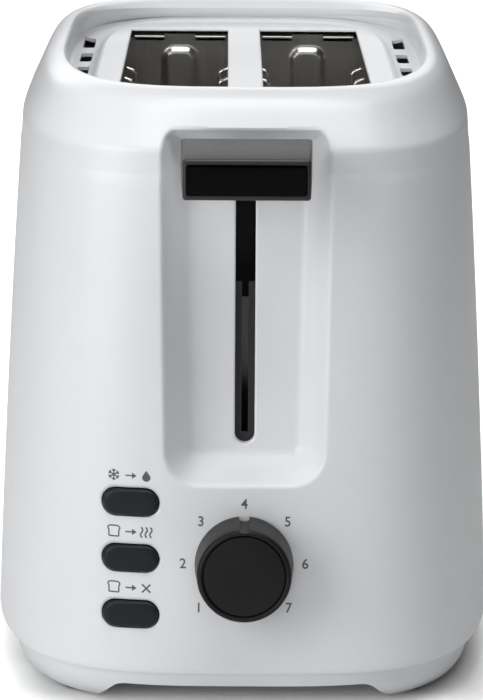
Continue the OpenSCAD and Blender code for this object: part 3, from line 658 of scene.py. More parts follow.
def ring(a, b, z, dip=0.0, unit=UNIT):
    """A level outline of half-sizes a and b, whose front and back ends dip."""
    y = b * unit[:, 1]
    return np.stack([a * unit[:, 0], y, z - dip * (y / LIP_B) ** 2], 1)


def shoulder_ring(turn, inset):
    """A ring of the shoulder's inner skin, turned from upright to level."""
    s, c = math.sin(turn), math.cos(turn)
    z = SHOULDER_Z + SHOULDER_H * s
    return ring(
        side(z) - SHOULDER_W * (1 - c) - inset * c,
        end(z) - SHOULDER_L * (1 - c) - inset * c,
        z - inset * s, RIM_DIP * s,
    )


def crown_ring(turn):
    """A ring of the outer skin: upright to the brow, a flat slope above it, then the rim's round."""
    s, c = math.sin(turn), math.cos(turn)
    z = SHOULDER_Z + SHOULDER_H * s
    rise = (SHOULDER_H * s - BROW_RISE) / (SLOPE_RISE - BROW_RISE)
    slope = rise * (1 - math.sqrt(1 - (SLOPE_RISE / SHOULDER_H) ** 2))
    round_off = 1 - c if s * SHOULDER_H > (BROW_RISE + SLOPE_RISE) / 2 else 0
    back = float(smooth_max(smooth_max(slope, 0, BROW_BLEND), round_off, SLOPE_BLEND))
    return ring(side(z) - SHOULDER_W * back, end(z) - SHOULDER_L * back, z, RIM_DIP * s)


def trapezoid_distance(x, v, foot, top, half_height):
    """Signed distance to an upright symmetrical trapezoid centred on v = 0."""
    x = np.abs(x)
    ax = x - np.minimum(x, np.where(v < 0, foot, top))
    ay = np.abs(v) - half_height
    kx, ky = top - foot, 2 * half_height
    h = np.clip(((top - x) * kx + (half_height - v) * ky) / (kx * kx + ky * ky), 0, 1)
    bx, by = x - top + kx * h, v - half_height + ky * h
    sign = np.where((bx < 0) & (ay < 0), -1.0, 1.0)
    return sign * np.sqrt(np.minimum(ax * ax + ay * ay, bx * bx + by * by))


def recess_distance(x, z):
    """Signed distance from the recess's outline on the face, whose foot has the rounder corners."""
    foot, top = slant(RECESS_FOOT), slant(RECESS_TOP)
    v = slant(z) - (foot + top) / 2
    half = (top - foot) / 2
    found = []
    for r in (RECESS_FOOT_R, RECESS_TOP_R):
        found.append(trapezoid_distance(x, v, RECESS_HALF_FOOT - r, RECESS_HALF_TOP - r, half - r) - r)
    mix = np.clip((v + half - RECESS_MIX) / (2 * half - 2 * RECESS_MIX), 0, 1)
    return found[0] * (1 - mix) + found[1] * mix


def panel_distance(x, z, width, height, r):
    """Distance to the edge of a rectangle with rounded corners, or of a stadium, negative inside."""
    dx, dz = np.abs(x) - width / 2 + r, np.abs(z) - height / 2 + r
    return np.hypot(np.maximum(dx, 0), np.maximum(dz, 0)) + np.minimum(np.maximum(dx, dz), 0) - r


def edge_dip(distance, radius, depth):
    """Rolls a surface over as it comes up to the edge of an opening."""
    near = np.clip(1 - np.maximum(distance, 0) / radius, 0, 1)
    return depth * (1 - np.sqrt(np.maximum(1 - near * near, 0)))


def pressed_front(points, inset=0.0):
    """Pushes the front of the shell back into the lever's recess and rounds the edges of the openings."""
    p = points.copy()
    x, y, z = p[:, 0], p[:, 1], p[:, 2]
    front = (y < FRONT_Y) & (np.abs(x) < FRONT_HALF_W)
    s = recess_distance(x, z) - inset
    wall = -s * RECESS_DEPTH / RECESS_DRAFT
    floor = smooth_min(wall, np.full_like(s, RECESS_DEPTH), RECESS_FLOOR_BLEND) + inset
    pushed = smooth_max(y, floor - end(z), RECESS_EDGE_BLEND)
    y = np.where(front & (s < RECESS_REACH), pushed, y)
    if not inset:
        slot = panel_distance(x, z - SLOT_MID_Z, LEVER_SLOT_W, SLOT_SPAN, LEVER_SLOT_W / 2)
        y = y + np.where(front, edge_dip(slot, *LEVER_SLOT_ROLL), 0)
        for button_z in BUTTON_ZS:
            hole = panel_distance(x - BUTTON_X, z - button_z, *BUTTON_HOLE, BUTTON_HOLE[1] / 2)
            y = y + np.where(front, edge_dip(hole, *BUTTON_ROLL), 0)
    p[:, 1] = y
    return p


def shell_rows():
    """Outer rings from the skirt to the crest, the rim's lip and the inner rings back down."""
    rows = [ring(side(SKIRT_Z) - t, end(SKIRT_Z) - t, z) for t, z in ((0.7, SKIRT_Z), (0.2, 13.15))]
    levels = bands((13.7, 26, 1.8), (26, 71, 0.5), (71, 86, 0.6), (86, 163, 2.4))
    rows += [ring(side(z), end(z), z) for z in levels]
    rows += [crown_ring(math.asin((z - SHOULDER_Z) / SHOULDER_H)) for z in np.arange(164, 184, 0.7)]
    rows += [crown_ring(math.radians(t)) for t in np.arange(51.5, 90.1, 2.75)]
    crest = [side(BODY_H) - SHOULDER_W, end(BODY_H) - SHOULDER_L, BODY_H, RIM_DIP]
    lip = [LIP_A, LIP_B, LIP_Z, LIP_DIP]
    for k in range(1, 7):
        w = k / 6
        a, b = (crest[i] + (lip[i] - crest[i]) * w for i in (0, 1))
        drop = w ** 1.9
        rows.append(ring(a, b, crest[2] + (lip[2] - crest[2]) * drop, crest[3] + (lip[3] - crest[3]) * drop))
    outer = len(rows)
    for out, drop in ((0.02, 0.7), (0.2, 1.3), (0.6, 1.9), (1.2, 2.3), (2.0, WALL)):
        rows.append(ring(LIP_A + out, LIP_B + out, LIP_Z - drop, LIP_DIP))
    rows += [shoulder_ring(math.radians(t), WALL) for t in (82, 66, 50, 42, 34, 26, 18, 9, 0)]
    rows += [ring(side(z) - WALL, end(z) - WALL, z) for z in [*np.arange(160, 62, -3.0), 40, SKIRT_Z]]
    return [
        pressed_front(r) if i < outer - 8 else r if i < outer + 5 else pressed_front(r, WALL)
        for i, r in enumerate(rows)
    ]


def face_prism(x, z, outline, low, high):
    """A closed prism on the leaning face from a flat outline."""
    return loft([on_face(x, z, level(outline, n)) for n in (low, high)])


def prism_y(outline, y0, y1):
    """A closed prism along Y from an (x, z) outline."""
    outline = np.asarray(outline, float)
    return loft([np.insert(outline, 1, y, axis=1) for y in (y0, y1)])


def build_shell():
    lever_slot = stadium(SLOT_SPAN, LEVER_SLOT_W, 20)[:, ::-1] + np.array([0, SLOT_MID_Z])
    tray_mouth = round_rectangle(94.4, 21.6, 1.2) + np.array([0, 12.5])
    cutters = [
        prism_y(lever_slot, -140, -100),
        face_prism(0, KNOB_Z, circle(SHAFT_HOLE_R, 48), -8, 6),
        prism_y(circle(GLAND_HOLE_R, 48) + np.array([0, GLAND_Z]), 122, 140),
        prism_y(tray_mouth, 115, 140),
    ]
    cutters += [face_prism(BUTTON_X, z, stadium(*BUTTON_HOLE, 18), -9, 5) for z in BUTTON_ZS]
    piece("shell", loft(shell_rows(), joined=True), "housing", "shell_plastic", ["outer_shell"], 38, cutters)


# ---------------------------------------------------------------- deck


def spaced(edges, low, high, coarse):
    """Grid lines over a range: close beside each edge, where its round is, and wider between."""
    fine = [0, 0.12, 0.3, 0.55, 0.85, 1.2]
    marks = set()
    for e, outward in edges:
        marks |= {round(e + outward * f, 4) for f in fine}
    stops = sorted(marks | {low, high})
    lines = []
    for a, b in zip(stops, stops[1:]):
        count = max(1, int(math.ceil((b - a) / coarse)))
        lines += list(np.linspace(a, b, count, endpoint=False))
    return np.array(lines + [high])


def deck_height(x, y):
    """The deck with the rounded edges of its two slots."""
    dx = np.maximum(np.abs(np.abs(x) - SLOT_MID) - SLOT_HALF_W, 0)
    dy = np.maximum(np.abs(y) - SLOT_Y, 0)
    return DECK_Z - edge_dip(np.hypot(dx, dy), *DECK_SLOT_ROLL)


def catmull(rows, steps):
    """A smooth curve through rows of values, with the given steps between each two."""
    rows = [np.asarray(r, float) for r in rows]
    padded = [2 * rows[0] - rows[1]] + rows + [2 * rows[-1] - rows[-2]]
    out = []
    for i in range(1, len(padded) - 2):
        p0, p1, p2, p3 = padded[i - 1:i + 3]
        for k in range(steps):
            t = k / steps
            out.append(0.5 * (2 * p1 + (p2 - p0) * t + (2 * p0 - 5 * p1 + 4 * p2 - p3) * t * t
                              + (3 * p1 - p0 - 3 * p2 + p3) * t ** 3))
    return out + [rows[-1]]


def power_ring(square, a, b, z, dip, power):
    """A superellipse ring whose points lie in the directions of a rectangle's edge points."""
    norm = (np.abs(square) ** power).sum(1) ** (1 / power)
    return ring(a, b, z, dip, square / norm[:, None])


# Half-width, half-length, height, dip and superellipse power of the rings outside the deck
MOAT_TOP = [
    (47.0, 90.0, 180.7, 0.0, 5.0), (47.3, 90.3, 180.63, 0.0, 5.0), (48.2, 91.1, 180.15, -0.2, 4.9),
    (49.2, 92.1, 179.1, -1.2, 4.75), (50.0, 93.0, 177.9, -2.4, 4.6), (51.8, 94.6, 176.8, -3.6, 4.2),
    (54.2, 96.3, 176.65, -3.6, 3.9), (56.7, 98.1, 176.7, -3.6, 3.6), (58.4, 99.5, 177.1, -3.6, 3.6),
    (59.3, 100.3, 178.1, -3.4, 3.6), (60.0, 101.0, 181.3, 0.5, 3.6), (59.6, 100.5, 184.0, 2.4, 3.6),
    (59.1, 99.8, 187.2, 4.3, 3.6),
]
MOAT_UNDER = [
    (60.2, 100.8, 186.9, 4.3, 3.6), (60.9, 101.7, 184.2, 2.4, 3.6), (61.3, 102.2, 181.0, 0.5, 3.6),
    (60.1, 101.2, 176.5, -3.6, 3.6), (56.9, 98.3, 175.5, -3.6, 3.6), (50.4, 93.4, 175.5, -3.6, 4.4),
    (48.9, 91.9, 176.1, -3.6, 4.8), (46.5, 90.0, 178.5, 0.0, 5.0),
]


def in_slot(x, y):
    return SLOT_IN < abs(x) < SLOT_OUT and abs(y) < SLOT_Y


def deck_faces(xs, ys, under):
    """Faces of the grid's top, its underside and its slots' walls, and the indices round its edge."""
    nx, ny = len(xs), len(ys)
    faces, sides = [], {}
    for j in range(ny - 1):
        for i in range(nx - 1):
            if in_slot((xs[i] + xs[i + 1]) / 2, (ys[j] + ys[j + 1]) / 2):
                continue
            a, b, c, d = j * nx + i, j * nx + i + 1, (j + 1) * nx + i + 1, (j + 1) * nx + i
            faces += [(a, b, c, d), (under + d, under + c, under + b, under + a)]
            sides |= dict.fromkeys(((a, b), (b, c), (c, d), (d, a)))
    edge = grid_border(ny, nx)
    outer = set(edge)
    for a, b in sides:
        if (b, a) not in sides and not (a in outer and b in outer):
            faces.append((b, a, under + a, under + b))
    return faces, edge


def vents():
    """Cutters for the vents in the moat on both sides of the deck."""
    cutters = []
    for sx in (-1, 1):
        for k in range(VENTS):
            at = np.array([sx * VENT_X, (k - (VENTS - 1) / 2) * VENT_PITCH])
            vent = round_rectangle(VENT_W, VENT_L, 1.0, 4) + at
            cutters.append(loft([level(vent, z) for z in (170, 190)]))
    return cutters


def build_deck():
    """The raised deck as a grid with two slots, then rings out across the moat and up the well's wall."""
    half_x, half_y = 41.0, 76.0
    x_edges = [(SLOT_IN, -1), (SLOT_OUT, 1), (-SLOT_IN, 1), (-SLOT_OUT, -1)]
    xs = spaced(x_edges, -half_x, half_x, 3.5)
    ys = spaced([(SLOT_Y, 1), (-SLOT_Y, -1)], -half_y, half_y, 4.0)
    flat = len(xs) * len(ys)
    gx, gy = (g.ravel() for g in np.meshgrid(xs, ys))
    top = np.stack([gx, gy, deck_height(gx, gy)], 1)
    under = np.stack([gx, gy, np.full(flat, DECK_Z - SLOT_EDGE_T)], 1)
    faces, edge = deck_faces(xs, ys, flat)
    square = top[edge][:, :2] / np.array([half_x, half_y])
    rings = [power_ring(square, *r) for r in catmull(MOAT_TOP, 3) + MOAT_UNDER]
    n, base = len(edge), 2 * flat
    loops = [edge] + [list(range(base + k * n, base + (k + 1) * n)) for k in range(len(rings))]
    loops.append([flat + e for e in edge])
    for a, b in zip(loops, loops[1:]):
        faces += [(a[i], a[(i + 1) % n], b[(i + 1) % n], b[i]) for i in range(n)]
    points = np.concatenate([top, under] + rings)
    piece("deck", (points, faces), "housing", "shell_plastic", ["top_deck"], 40, vents())


# ---------------------------------------------------------------- base


def rounded_arch(half):
    """Section of the hollow between two feet, with rounded upper corners."""
    corner = [(-3.2, 0), (-1.6, 0.2), (-0.2, 0.8), (1.2, 2.0), (7, FLOOR_Z)]
    edge = [(half + out, FLOOR_Z - drop) for out, drop in corner]
    return [(-x, z) for x, z in edge[::-1]] + edge


def build_base():
    # Inset from the sides, inset from the ends and height
    profile = [
        (6.4, 10.6, 1.0), (5.9, 10.0, 1.1), (5.6, 9.3, 1.4), (5.2, 7.2, 2.6), (4.8, 5.0, 4.3), (4.6, 3.6, 5.6),
        (4.45, 2.5, 7.0), (4.35, 1.9, 8.4), (4.3, 1.45, 9.8), (4.2, 1.2, 11.4), (4.2, 1.15, 12.0),
        (1.8, 1.15, 12.1), (1.7, 1.15, 12.9), (1.8, 1.3, 13.0), (7.0, 5.0, 13.0), (7.0, 5.0, 11.6),
        (7.6, 5.6, 11.0),
    ]
    rows = [ring(BODY_A - a, BODY_B - b, z) for a, b, z in profile]
    arch_y = loft([np.insert(np.array(rounded_arch(ARCH_HALF_Y)), 0, x, axis=1) for x in (-200, 200)])
    cutters = [prism_y(rounded_arch(ARCH_HALF_X), -200, 200), arch_y]
    ledge = FLOOR_Z + 1
    screw_well = ((SCREW_HEAD_R, -1), (SCREW_HEAD_R, ledge), (SCREW_SHANK_R, ledge), (SCREW_SHANK_R, 14))
    for at in corners(SCREW_X, SCREW_Y):
        cutters.append(loft([level(circle(r, 40) + at, z) for r, z in screw_well]))
    piece("base_tub", loft(rows), "housing", "base_plastic", ["base"], 30, cutters)


# ---------------------------------------------------------------- knob and its scale


def build_knob():
    """The ribless knob with its notch, and the disc set in its front; (radius, out) from the face."""
    outer = [
        (0.0, 2.2), (13.2, 2.2), (13.2, 0.8), (13.5, 0.7), (14.5, 0.7), (14.8, 1.0), (14.8, 2.9), (14.75, 3.3),
        (14.35, 10), (14.12, 15.2), (14.0, 16.0), (13.75, 16.6), (13.35, 16.93), (12.95, 17.0), (12.6, 16.85),
        (12.38, 16.5), (12.33, 15.6), (0.0, 15.6),
    ]
    notch = [(-1.5, 18.0), (-1.5, 13.75), (-1.1, 13.35), (0, 13.2), (1.1, 13.35), (1.5, 13.75), (1.5, 18.0)]
    cutters = [face_prism(0, KNOB_Z, notch, -1, 20), face_prism(0, KNOB_Z, circle(3.0, 40), -1, 11)]
    skirt = loft(lathe_on_face(0, KNOB_Z, outer, 128))
    piece("knob_skirt", skirt, "browning_knob", "knob_plastic", ["knob"], 30, cutters)
    cap = [(0.0, 15.6), (12.1, 15.6), (12.1, 16.35), (11.95, 16.62), (11.65, 16.72), (6, 16.62), (0.0, 16.6)]
    disc = loft(lathe_on_face(0, KNOB_Z, cap, 96))
    piece("knob_disc", disc, "browning_knob", "knob_plastic", ["knob_cap"], 30)


def laid_on_face(obj, x, z):
    """Lays a flat mesh, drawn in millimetres about (0, 0), on the bowed front face."""
    for vertex in obj.data.vertices:
        px, pv, out = vertex.co
        place = on_face(x, z, [(px, pv, 0)])[0]
        place[1] = -end(place[2]) + float(face_bow(np.array(place[0]), place[2])) - out
        vertex.co = Vector(to_frame([place])[0])


def subdivide(obj, longest):
    """Splits long edges, so that a flat mark can follow the bowed face."""
    bm = bmesh.new()
    bm.from_mesh(obj.data)
    bmesh.ops.triangulate(bm, faces=bm.faces)
    for _ in range(4):
        long_edges = [e for e in bm.edges if e.calc_length() > longest]
        if not long_edges:
            break
        bmesh.ops.subdivide_edges(bm, edges=long_edges, cuts=1)
        bmesh.ops.triangulate(bm, faces=bm.faces)
    bm.to_mesh(obj.data)
    bm.free()


def build_digits():
    """The numbers of the browning scale."""
    for k in range(7):
        turn = math.radians(SCALE_START - SCALE_STEP * k)
        reach = SCALE_END_R if k in (0, 6) else SCALE_R
        curve = bpy.data.curves.new(f"digit_{k + 1}", "FONT")
        curve.body = str(k + 1)
        curve.align_x, curve.align_y = "CENTER", "CENTER"
        curve.size = DIGIT_SIZE
        curve.extrude = (INK_HIGH - INK_LOW) / 2
        curve.offset = 0.05
        text = linked("text", curve)
        graph = bpy.context.evaluated_depsgraph_get()
        mesh = bpy.data.meshes.new_from_object(text.evaluated_get(graph))
        bpy.data.objects.remove(text)
        obj = linked(f"scale_mark_{k + 1}", mesh)
        xs = [v.co.x for v in mesh.vertices]
        ys = [v.co.y for v in mesh.vertices]
        for v in mesh.vertices:
            v.co.x = (v.co.x - (min(xs) + max(xs)) / 2) * DIGIT_SQUASH + reach * math.cos(turn)
            v.co.y = v.co.y - (min(ys) + max(ys)) / 2 + reach * math.sin(turn)
            v.co.z += (INK_HIGH + INK_LOW) / 2
        subdivide(obj, 1.2)
        laid_on_face(obj, 0, KNOB_Z)
        dress(obj, "housing", "printed_marks")


def bar(x0, y0, x1, y1, width):
    """A flat bar with square ends as an outline."""
    d = np.array([x1 - x0, y1 - y0])
    d = d / np.linalg.norm(d)
    n = np.array([-d[1], d[0]]) * width / 2
    return np.array([(x0, y0) + n, (x0, y0) - n, (x1, y1) - n, (x1, y1) + n])


def moved(outlines, x):
    return [o + np.array([x, 0.0]) for o in outlines]


# Each sign is a list of flat outlines in millimetres about its own middle
def arrow():
    return [bar(-1.5, 0, 1.0, 0, 0.42), np.array([(0.5, 0.95), (0.5, -0.95), (1.9, 0.0)])]


def snowflake():
    parts = []
    for k in range(3):
        a = math.radians(90 + 60 * k)
        c, s = math.cos(a), math.sin(a)
        parts.append(bar(-1.75 * c, -1.75 * s, 1.75 * c, 1.75 * s, 0.4))
        for end_sign in (-1, 1):
            for lean in (-1, 1):
                t = a + lean * math.radians(48)
                at = np.array([c, s]) * end_sign
                tip = at + end_sign * 0.75 * np.array([math.cos(t), math.sin(t)])
                parts.append(bar(at[0], at[1], tip[0], tip[1], 0.34))
    return parts


def droplet():
    turns = np.linspace(math.radians(150), math.radians(390), 22)
    return [np.array([(1.25 * math.cos(t), -0.45 + 1.2 * math.sin(t)) for t in turns] + [(0.0, 1.75)])]


def heat_waves():
    parts = []
    for x in (-1.4, 0, 1.4):
        line = [(x + 0.34 * math.sin(v * 2.2), v) for v in np.linspace(-1.6, 1.6, 11)]
        parts += [bar(*a, *b, 0.46) for a, b in zip(line, line[1:])]
    return parts


def bread_slice():
    half = [(1.5, -1.6), (1.5, 0.3), (1.85, 0.8), (1.6, 1.45), (0.8, 1.65)]
    line = [(-1.5, -1.6)] + half + [(-x, z) for x, z in half[:0:-1]]
    return [bar(*a, *b, 0.42) for a, b in zip(line, line[1:] + line[:1])]


def stop_cross():
    return [bar(-1.25, -1.25, 1.25, 1.25, 0.5), bar(-1.25, 1.25, 1.25, -1.25, 0.5)]


def build_pictograms():
    """Plain signs over the buttons: ice to water, bread to rising heat, and bread to a cross."""
    signs = (("thaw", snowflake, droplet), ("warm", bread_slice, heat_waves), ("stop", bread_slice, stop_cross))
    for z, (name, before, after) in zip(BUTTON_ZS, signs):
        outlines = moved(before(), SIGN_LEFT) + arrow() + moved(after(), SIGN_RIGHT)
        points, faces = merged(*(loft([level(o, h) for h in (INK_LOW, INK_HIGH)]) for o in outlines))
        mesh = bpy.data.meshes.new(name)
        mesh.from_pydata([tuple(p) for p in points], [], faces)
        obj = linked(f"sign_{name}", mesh)
        laid_on_face(obj, BUTTON_X, z + SIGN_RISE)
        dress(obj, "housing", "printed_marks")


# ---------------------------------------------------------------- buttons


def build_buttons():
    """Three caps with a flange behind the face and a stem; their fronts follow the face's bow."""
    bow = float(face_bow(np.array(BUTTON_X), BUTTON_Z))
    flange = ((3.0, -10.2), (3.0, -9.0), (0.0, -9.0), (0.0, -6.0))
    rounded = (
        (0, 1.25), (0.05, 0.85), (0.2, 0.5), (0.45, 0.22), (0.8, 0.08), (1.3, 0.02), (2.2, 0.0), (3.4, -0.02),
    )
    for z, node in zip(BUTTON_ZS, ("defrost_button", "reheat_button", "cancel_button")):
        loops = [level(stadium(BUTTON_L + grow, BUTTON_H + grow), out) for grow, out in flange]
        for inset, drop in rounded:
            outline = stadium(BUTTON_L - 2 * inset, BUTTON_H - 2 * inset)
            loops.append(level(outline, BUTTON_PROUD - bow - drop + BUTTON_YAW * outline[:, 0]))
        cap = loft([on_face(BUTTON_X, z, l) for l in loops])
        stem = loft(lathe_on_face(BUTTON_X, z, [(2.5, -14.9), (2.5, -10.2)], 32))
        piece(f"{node}_cap", merged(cap, stem), node, "button_plastic", [node], 32)


# ---------------------------------------------------------------- lever


GRIP_HALF_W = 18.5
GRIP_H = 12.0
GRIP_FLARE = 0.8
PANEL_W = 35.2
PANEL_H = 9.2
PANEL_GAP = 0.6


def rounded_grip(y0, y1, z0):
    """The grip's block, wider and higher at its back, with every edge rounded."""
    wide, foot, top = GRIP_HALF_W + GRIP_FLARE, z0 + 2, z0 + GRIP_H + 3
    ends = ((GRIP_HALF_W, y0, z0, z0 + GRIP_H), (wide, y1, foot, top))
    points, faces = loft([[(-w, y, a), (w, y, a), (w, y, b), (-w, y, b)] for w, y, a, b in ends])
    bm = bmesh.new()
    verts = [bm.verts.new(p) for p in points]
    for face in faces:
        bm.faces.new([verts[i] for i in face])
    bmesh.ops.recalc_face_normals(bm, faces=bm.faces)
    edges = list(bm.edges)
    bmesh.ops.bevel(bm, geom=edges, offset=0.9, segments=5, profile=0.5, affect="EDGES", clamp_overlap=True)
    bm.verts.index_update()
    points = [tuple(v.co) for v in bm.verts]
    faces = [[v.index for v in face.verts] for face in bm.faces]
    bm.free()
    return points, faces


def build_handle():
    """The lever's grip and the gloss panel let into its front."""
    low, high = box_mm("lever_handle")
    y0, y1, z0 = low[1] - FRAME_Y, high[1] - FRAME_Y, low[2]
    centre = np.array([0, z0 + GRIP_H / 2])
    pocket = prism_y(round_rectangle(PANEL_W, PANEL_H, 0.9, 4) + centre, y0 - 5, y0 + 1.3)
    slit = block((-0.6, y0 + 12, z0 + 1.5), (0.6, y0 + 30, z0 + 10.5))
    grip = rounded_grip(y0, y1, z0)
    piece("lever_grip", grip, "lift", "handle_plastic", ["lever_handle"], 34, [pocket, slit])
    loops = []
    for inset, y in ((0, 1.2), (0, 0.5), (0.06, 0.32), (0.2, 0.22), (0.5, 0.2), (1.0, 0.2)):
        less = PANEL_GAP + 2 * inset
        outline = round_rectangle(PANEL_W - less, PANEL_H - less, max(0.8 - inset, 0.1), 4) + centre
        loops.append(np.insert(outline, 1, y0 + y, axis=1))
    piece("lever_face", loft(loops), "lift", "panel_gloss", ["lever_panel"], 30)


# ---------------------------------------------------------------- chamber pieces that show


def domed_sheet(half_x, foot, top, y, sheet):
    """The rear wall's sheet, pressed forwards in a dome behind each slot."""
    dome_w, dome_h, dome_r, depth, slope = 13.6, 34.0, 5.0, 1.6, 2.7
    dome_mid = top - 3.9 - dome_h / 2
    near = np.arange(-10, 10.1, 0.5)
    xs = np.unique(np.concatenate([np.linspace(-half_x, half_x, 41), SLOT_MID + near, -SLOT_MID + near]))
    zs = np.unique(np.concatenate([np.linspace(foot, 134, 20), np.arange(134, 177, 0.5), [top]]))
    gx, gz = (g.ravel() for g in np.meshgrid(xs, zs))
    domes = (panel_distance(gx - s * SLOT_MID, gz - dome_mid, dome_w, dome_h, dome_r) for s in (-1, 1))
    step = np.clip(-np.minimum(*domes) / slope, 0, 1)
    rise = depth * step * step * (3 - 2 * step)
    points = np.concatenate([np.stack([gx, y + t - rise, gz], 1) for t in (0, sheet)])
    front = grid_faces(len(zs), len(xs), False)
    count = len(gx)
    faces = front + [tuple(count + i for i in reversed(f)) for f in front]
    border = grid_border(len(zs), len(xs))
    faces += [(a, b, count + b, count + a) for a, b in zip(border, border[1:] + border[:1])]
    return points, faces


def build_rear_plate():
    """Rear wall of the chamber, with a leg at each side and folded lips at its top."""
    low, high = box_mm("rear_plate")
    half_x, foot, top = high[0], 20.0, high[2]
    y, sheet, leg_w = 77.0, 0.8, 3.5
    parts = [domed_sheet(half_x, foot, top, y, sheet)]
    for sx in (-1, 1):
        legs = sorted((sx * (half_x - leg_w), sx * half_x))
        parts.append(block((legs[0], y, low[2]), (legs[1], y + sheet, foot + 1)))
        for s in (-1, 1):
            ends = sorted((sx * SLOT_MID + s * 5.5, sx * SLOT_MID + s * (SLOT_HALF_W - 1)))
            parts.append(folded_lip(*ends, y, top, sheet))
    upper_corners = [block((x0, y - 5, 177.0), (x1, y + 5, 182.0)) for x0, x1 in ((-52, -38.5), (38.5, 52))]
    piece("rear_wall", merged(*parts), "housing", "chamber_steel", ["rear_plate"], 40, upper_corners)


def folded_lip(x0, x1, y, top, sheet):
    """A lip bent forwards from the plate's top edge through a small radius, with a rounded nose."""
    reach, r = 4.5, 0.8
    bend = np.linspace(0, math.pi / 2, 6)[1:]
    nose = np.linspace(0, math.pi, 9)
    profile = [(y + sheet, top - r - 1.5), (y + sheet, top - r)]
    profile += [(y + sheet - r + r * math.cos(a), top - r + r * math.sin(a)) for a in bend]
    profile += [(y - reach - sheet / 2 * math.sin(a), top - sheet / 2 + sheet / 2 * math.cos(a)) for a in nose]
    profile += [(y, top - sheet), (y, top - r - 1.5)]
    return loft([np.insert(np.array(profile), 0, x, axis=1) for x in (x0, x1)])


def tube(path, radius, sides=10):
    """A round wire along a path, its ends rounded over."""
    path = [np.asarray(p, float) for p in path]
    tangents = []
    for i in range(len(path)):
        a, b = path[max(i - 1, 0)], path[min(i + 1, len(path) - 1)]
        tangents.append((b - a) / np.linalg.norm(b - a))
    normal = np.cross(tangents[0], [0.3, 1.0, 0.2])
    loops = []
    rows = list(zip(path, tangents, [radius] * len(path)))
    cap = [(0.35, 0.94), (0.8, 0.6), (1.0, 0.15)]
    rows = [(path[0] - tangents[0] * radius * o, tangents[0], radius * s) for o, s in reversed(cap)] + rows
    rows += [(path[-1] + tangents[-1] * radius * o, tangents[-1], radius * s) for o, s in cap]
    for at, tangent, r in rows:
        normal = normal - tangent * np.dot(normal, tangent)
        normal = normal / np.linalg.norm(normal)
        other = np.cross(tangent, normal)
        a = np.arange(sides) * 2 * math.pi / sides
        loops.append(at + r * (np.cos(a)[:, None] * normal + np.sin(a)[:, None] * other))
    return loft(loops)


def guard_wire_path(x, y, out):
    """An upright of a bread guard: straight, then bent outwards through a small radius into its hook."""
    points = [(x, y, z) for z in np.linspace(GUARD_FOOT, GUARD_BEND, 8)]
    bend, full, hook = 1.8, math.radians(70), 2.0
    for a in np.linspace(0, full, 7)[1:]:
        points.append((x + out * bend * (1 - math.cos(a)), y, GUARD_BEND + bend * math.sin(a)))
    last = points[-1]
    return points + [(last[0] + out * hook * math.sin(full), y, last[2] + hook * math.cos(full))]


def build_guards():
    outer_x, inner_x = SLOT_OUT - 1.6, SLOT_IN + 2.8
    for name, x, out in (
        ("guard_left_outer", -outer_x, -1), ("guard_left_inner", -inner_x, 1),
        ("guard_right_inner", inner_x, -1), ("guard_right_outer", outer_x, 1),
    ):
        parts = [
            tube([(x, y, GUARD_FOOT) for y in np.linspace(-78.0, 78.0, 5)], PIVOT_R, 14),
            tube([(x, y, GUARD_BAR) for y in np.linspace(-62, 62, 5)], WIRE_R),
        ]
        parts += [tube(guard_wire_path(x, y, out), WIRE_R) for y in np.linspace(-60, 60, 6)]
        piece(f"{name}_wires", merged(*parts), name, "guard_wire", [name], 40)


# ---------------------------------------------------------------- rear and underside


def build_gland():
    """The bush in the rear wall, turned about the wall's outward direction from (radius, out) pairs."""
    profile = [
        (3.6, -8), (5.9, -8), (5.9, 0.1), (8.3, 0.1), (8.5, 0.3), (8.5, 0.7), (8.2, 1.1), (7.4, 1.5), (5.0, 1.5),
        (4.4, 1.3), (3.9, 0.8), (3.6, 0.0),
    ]
    at = np.array([0, end(GLAND_Z), GLAND_Z])
    out = np.array([0, math.cos(LEAN), math.sin(LEAN)])
    upward = np.array([0, -math.sin(LEAN), math.cos(LEAN)])
    rings = []
    for radius, n in profile:
        c = circle(radius, 56)
        rings.append(at + c[:, :1] * FACE_RIGHT + c[:, 1:] * upward + n * out)
    piece("cord_bush", loft(rings, joined=True), "housing", "black_plastic", ["cord_gland"], 32)


def build_tray_pull():
    """Grip of the crumb tray, bowed like the shell, with a finger hollow under it."""
    half, y0, radius, rear, soft = 46.5, 122.0, 237.0, 133.2, 0.8
    xs = np.linspace(-half + soft, half - soft, 45)
    low, high = 13.6, 22.6
    loops = []
    rounded = [(soft, low), (0.25, low + 0.25), (0, low + 0.9)]
    for inset, z in rounded + [(inset, low + high - z) for inset, z in rounded[::-1]]:
        wider, middle = (half - inset) / (half - soft), rear - inset - radius
        edge = [(x * wider, middle + math.sqrt(radius ** 2 - x * x)) for x in xs]
        loops.append(level(np.array([(-half + inset, y0), (half - inset, y0)] + edge[::-1]), z))
    hollow = []
    for shrink, z in ((0, low - 1), (0, low + 2.4), (1.2, low + 3.6), (3, low + 4)):
        outline = round_rectangle(44 - 2 * shrink, 12 - 2 * shrink, 2) + np.array([0, rear + 1])
        hollow.append(level(outline, z))
    piece("tray_grip", loft(loops), "crumb_tray", "shell_plastic", ["tray_pull"], 32, [loft(hollow)])


def build_feet():
    """Four rubber pads, hollow in the middle; (radius, height) from the inside out."""
    profile = [(3.2, 0.35), (4.4, 0.35), (4.6, 0.0), (5.2, 0.0), (5.7, 0.12), (6.0, 0.4), (6.0, 1.0), (4.0, 1.0)]
    pads = [loft([level(circle(r, 40) + at, z) for r, z in profile]) for at in corners(FOOT_X, FOOT_Y)]
    piece("foot_discs", merged(*pads), "housing", "foot_rubber", ["foot_pads"], 35)


# ---------------------------------------------------------------- stage, lights and camera


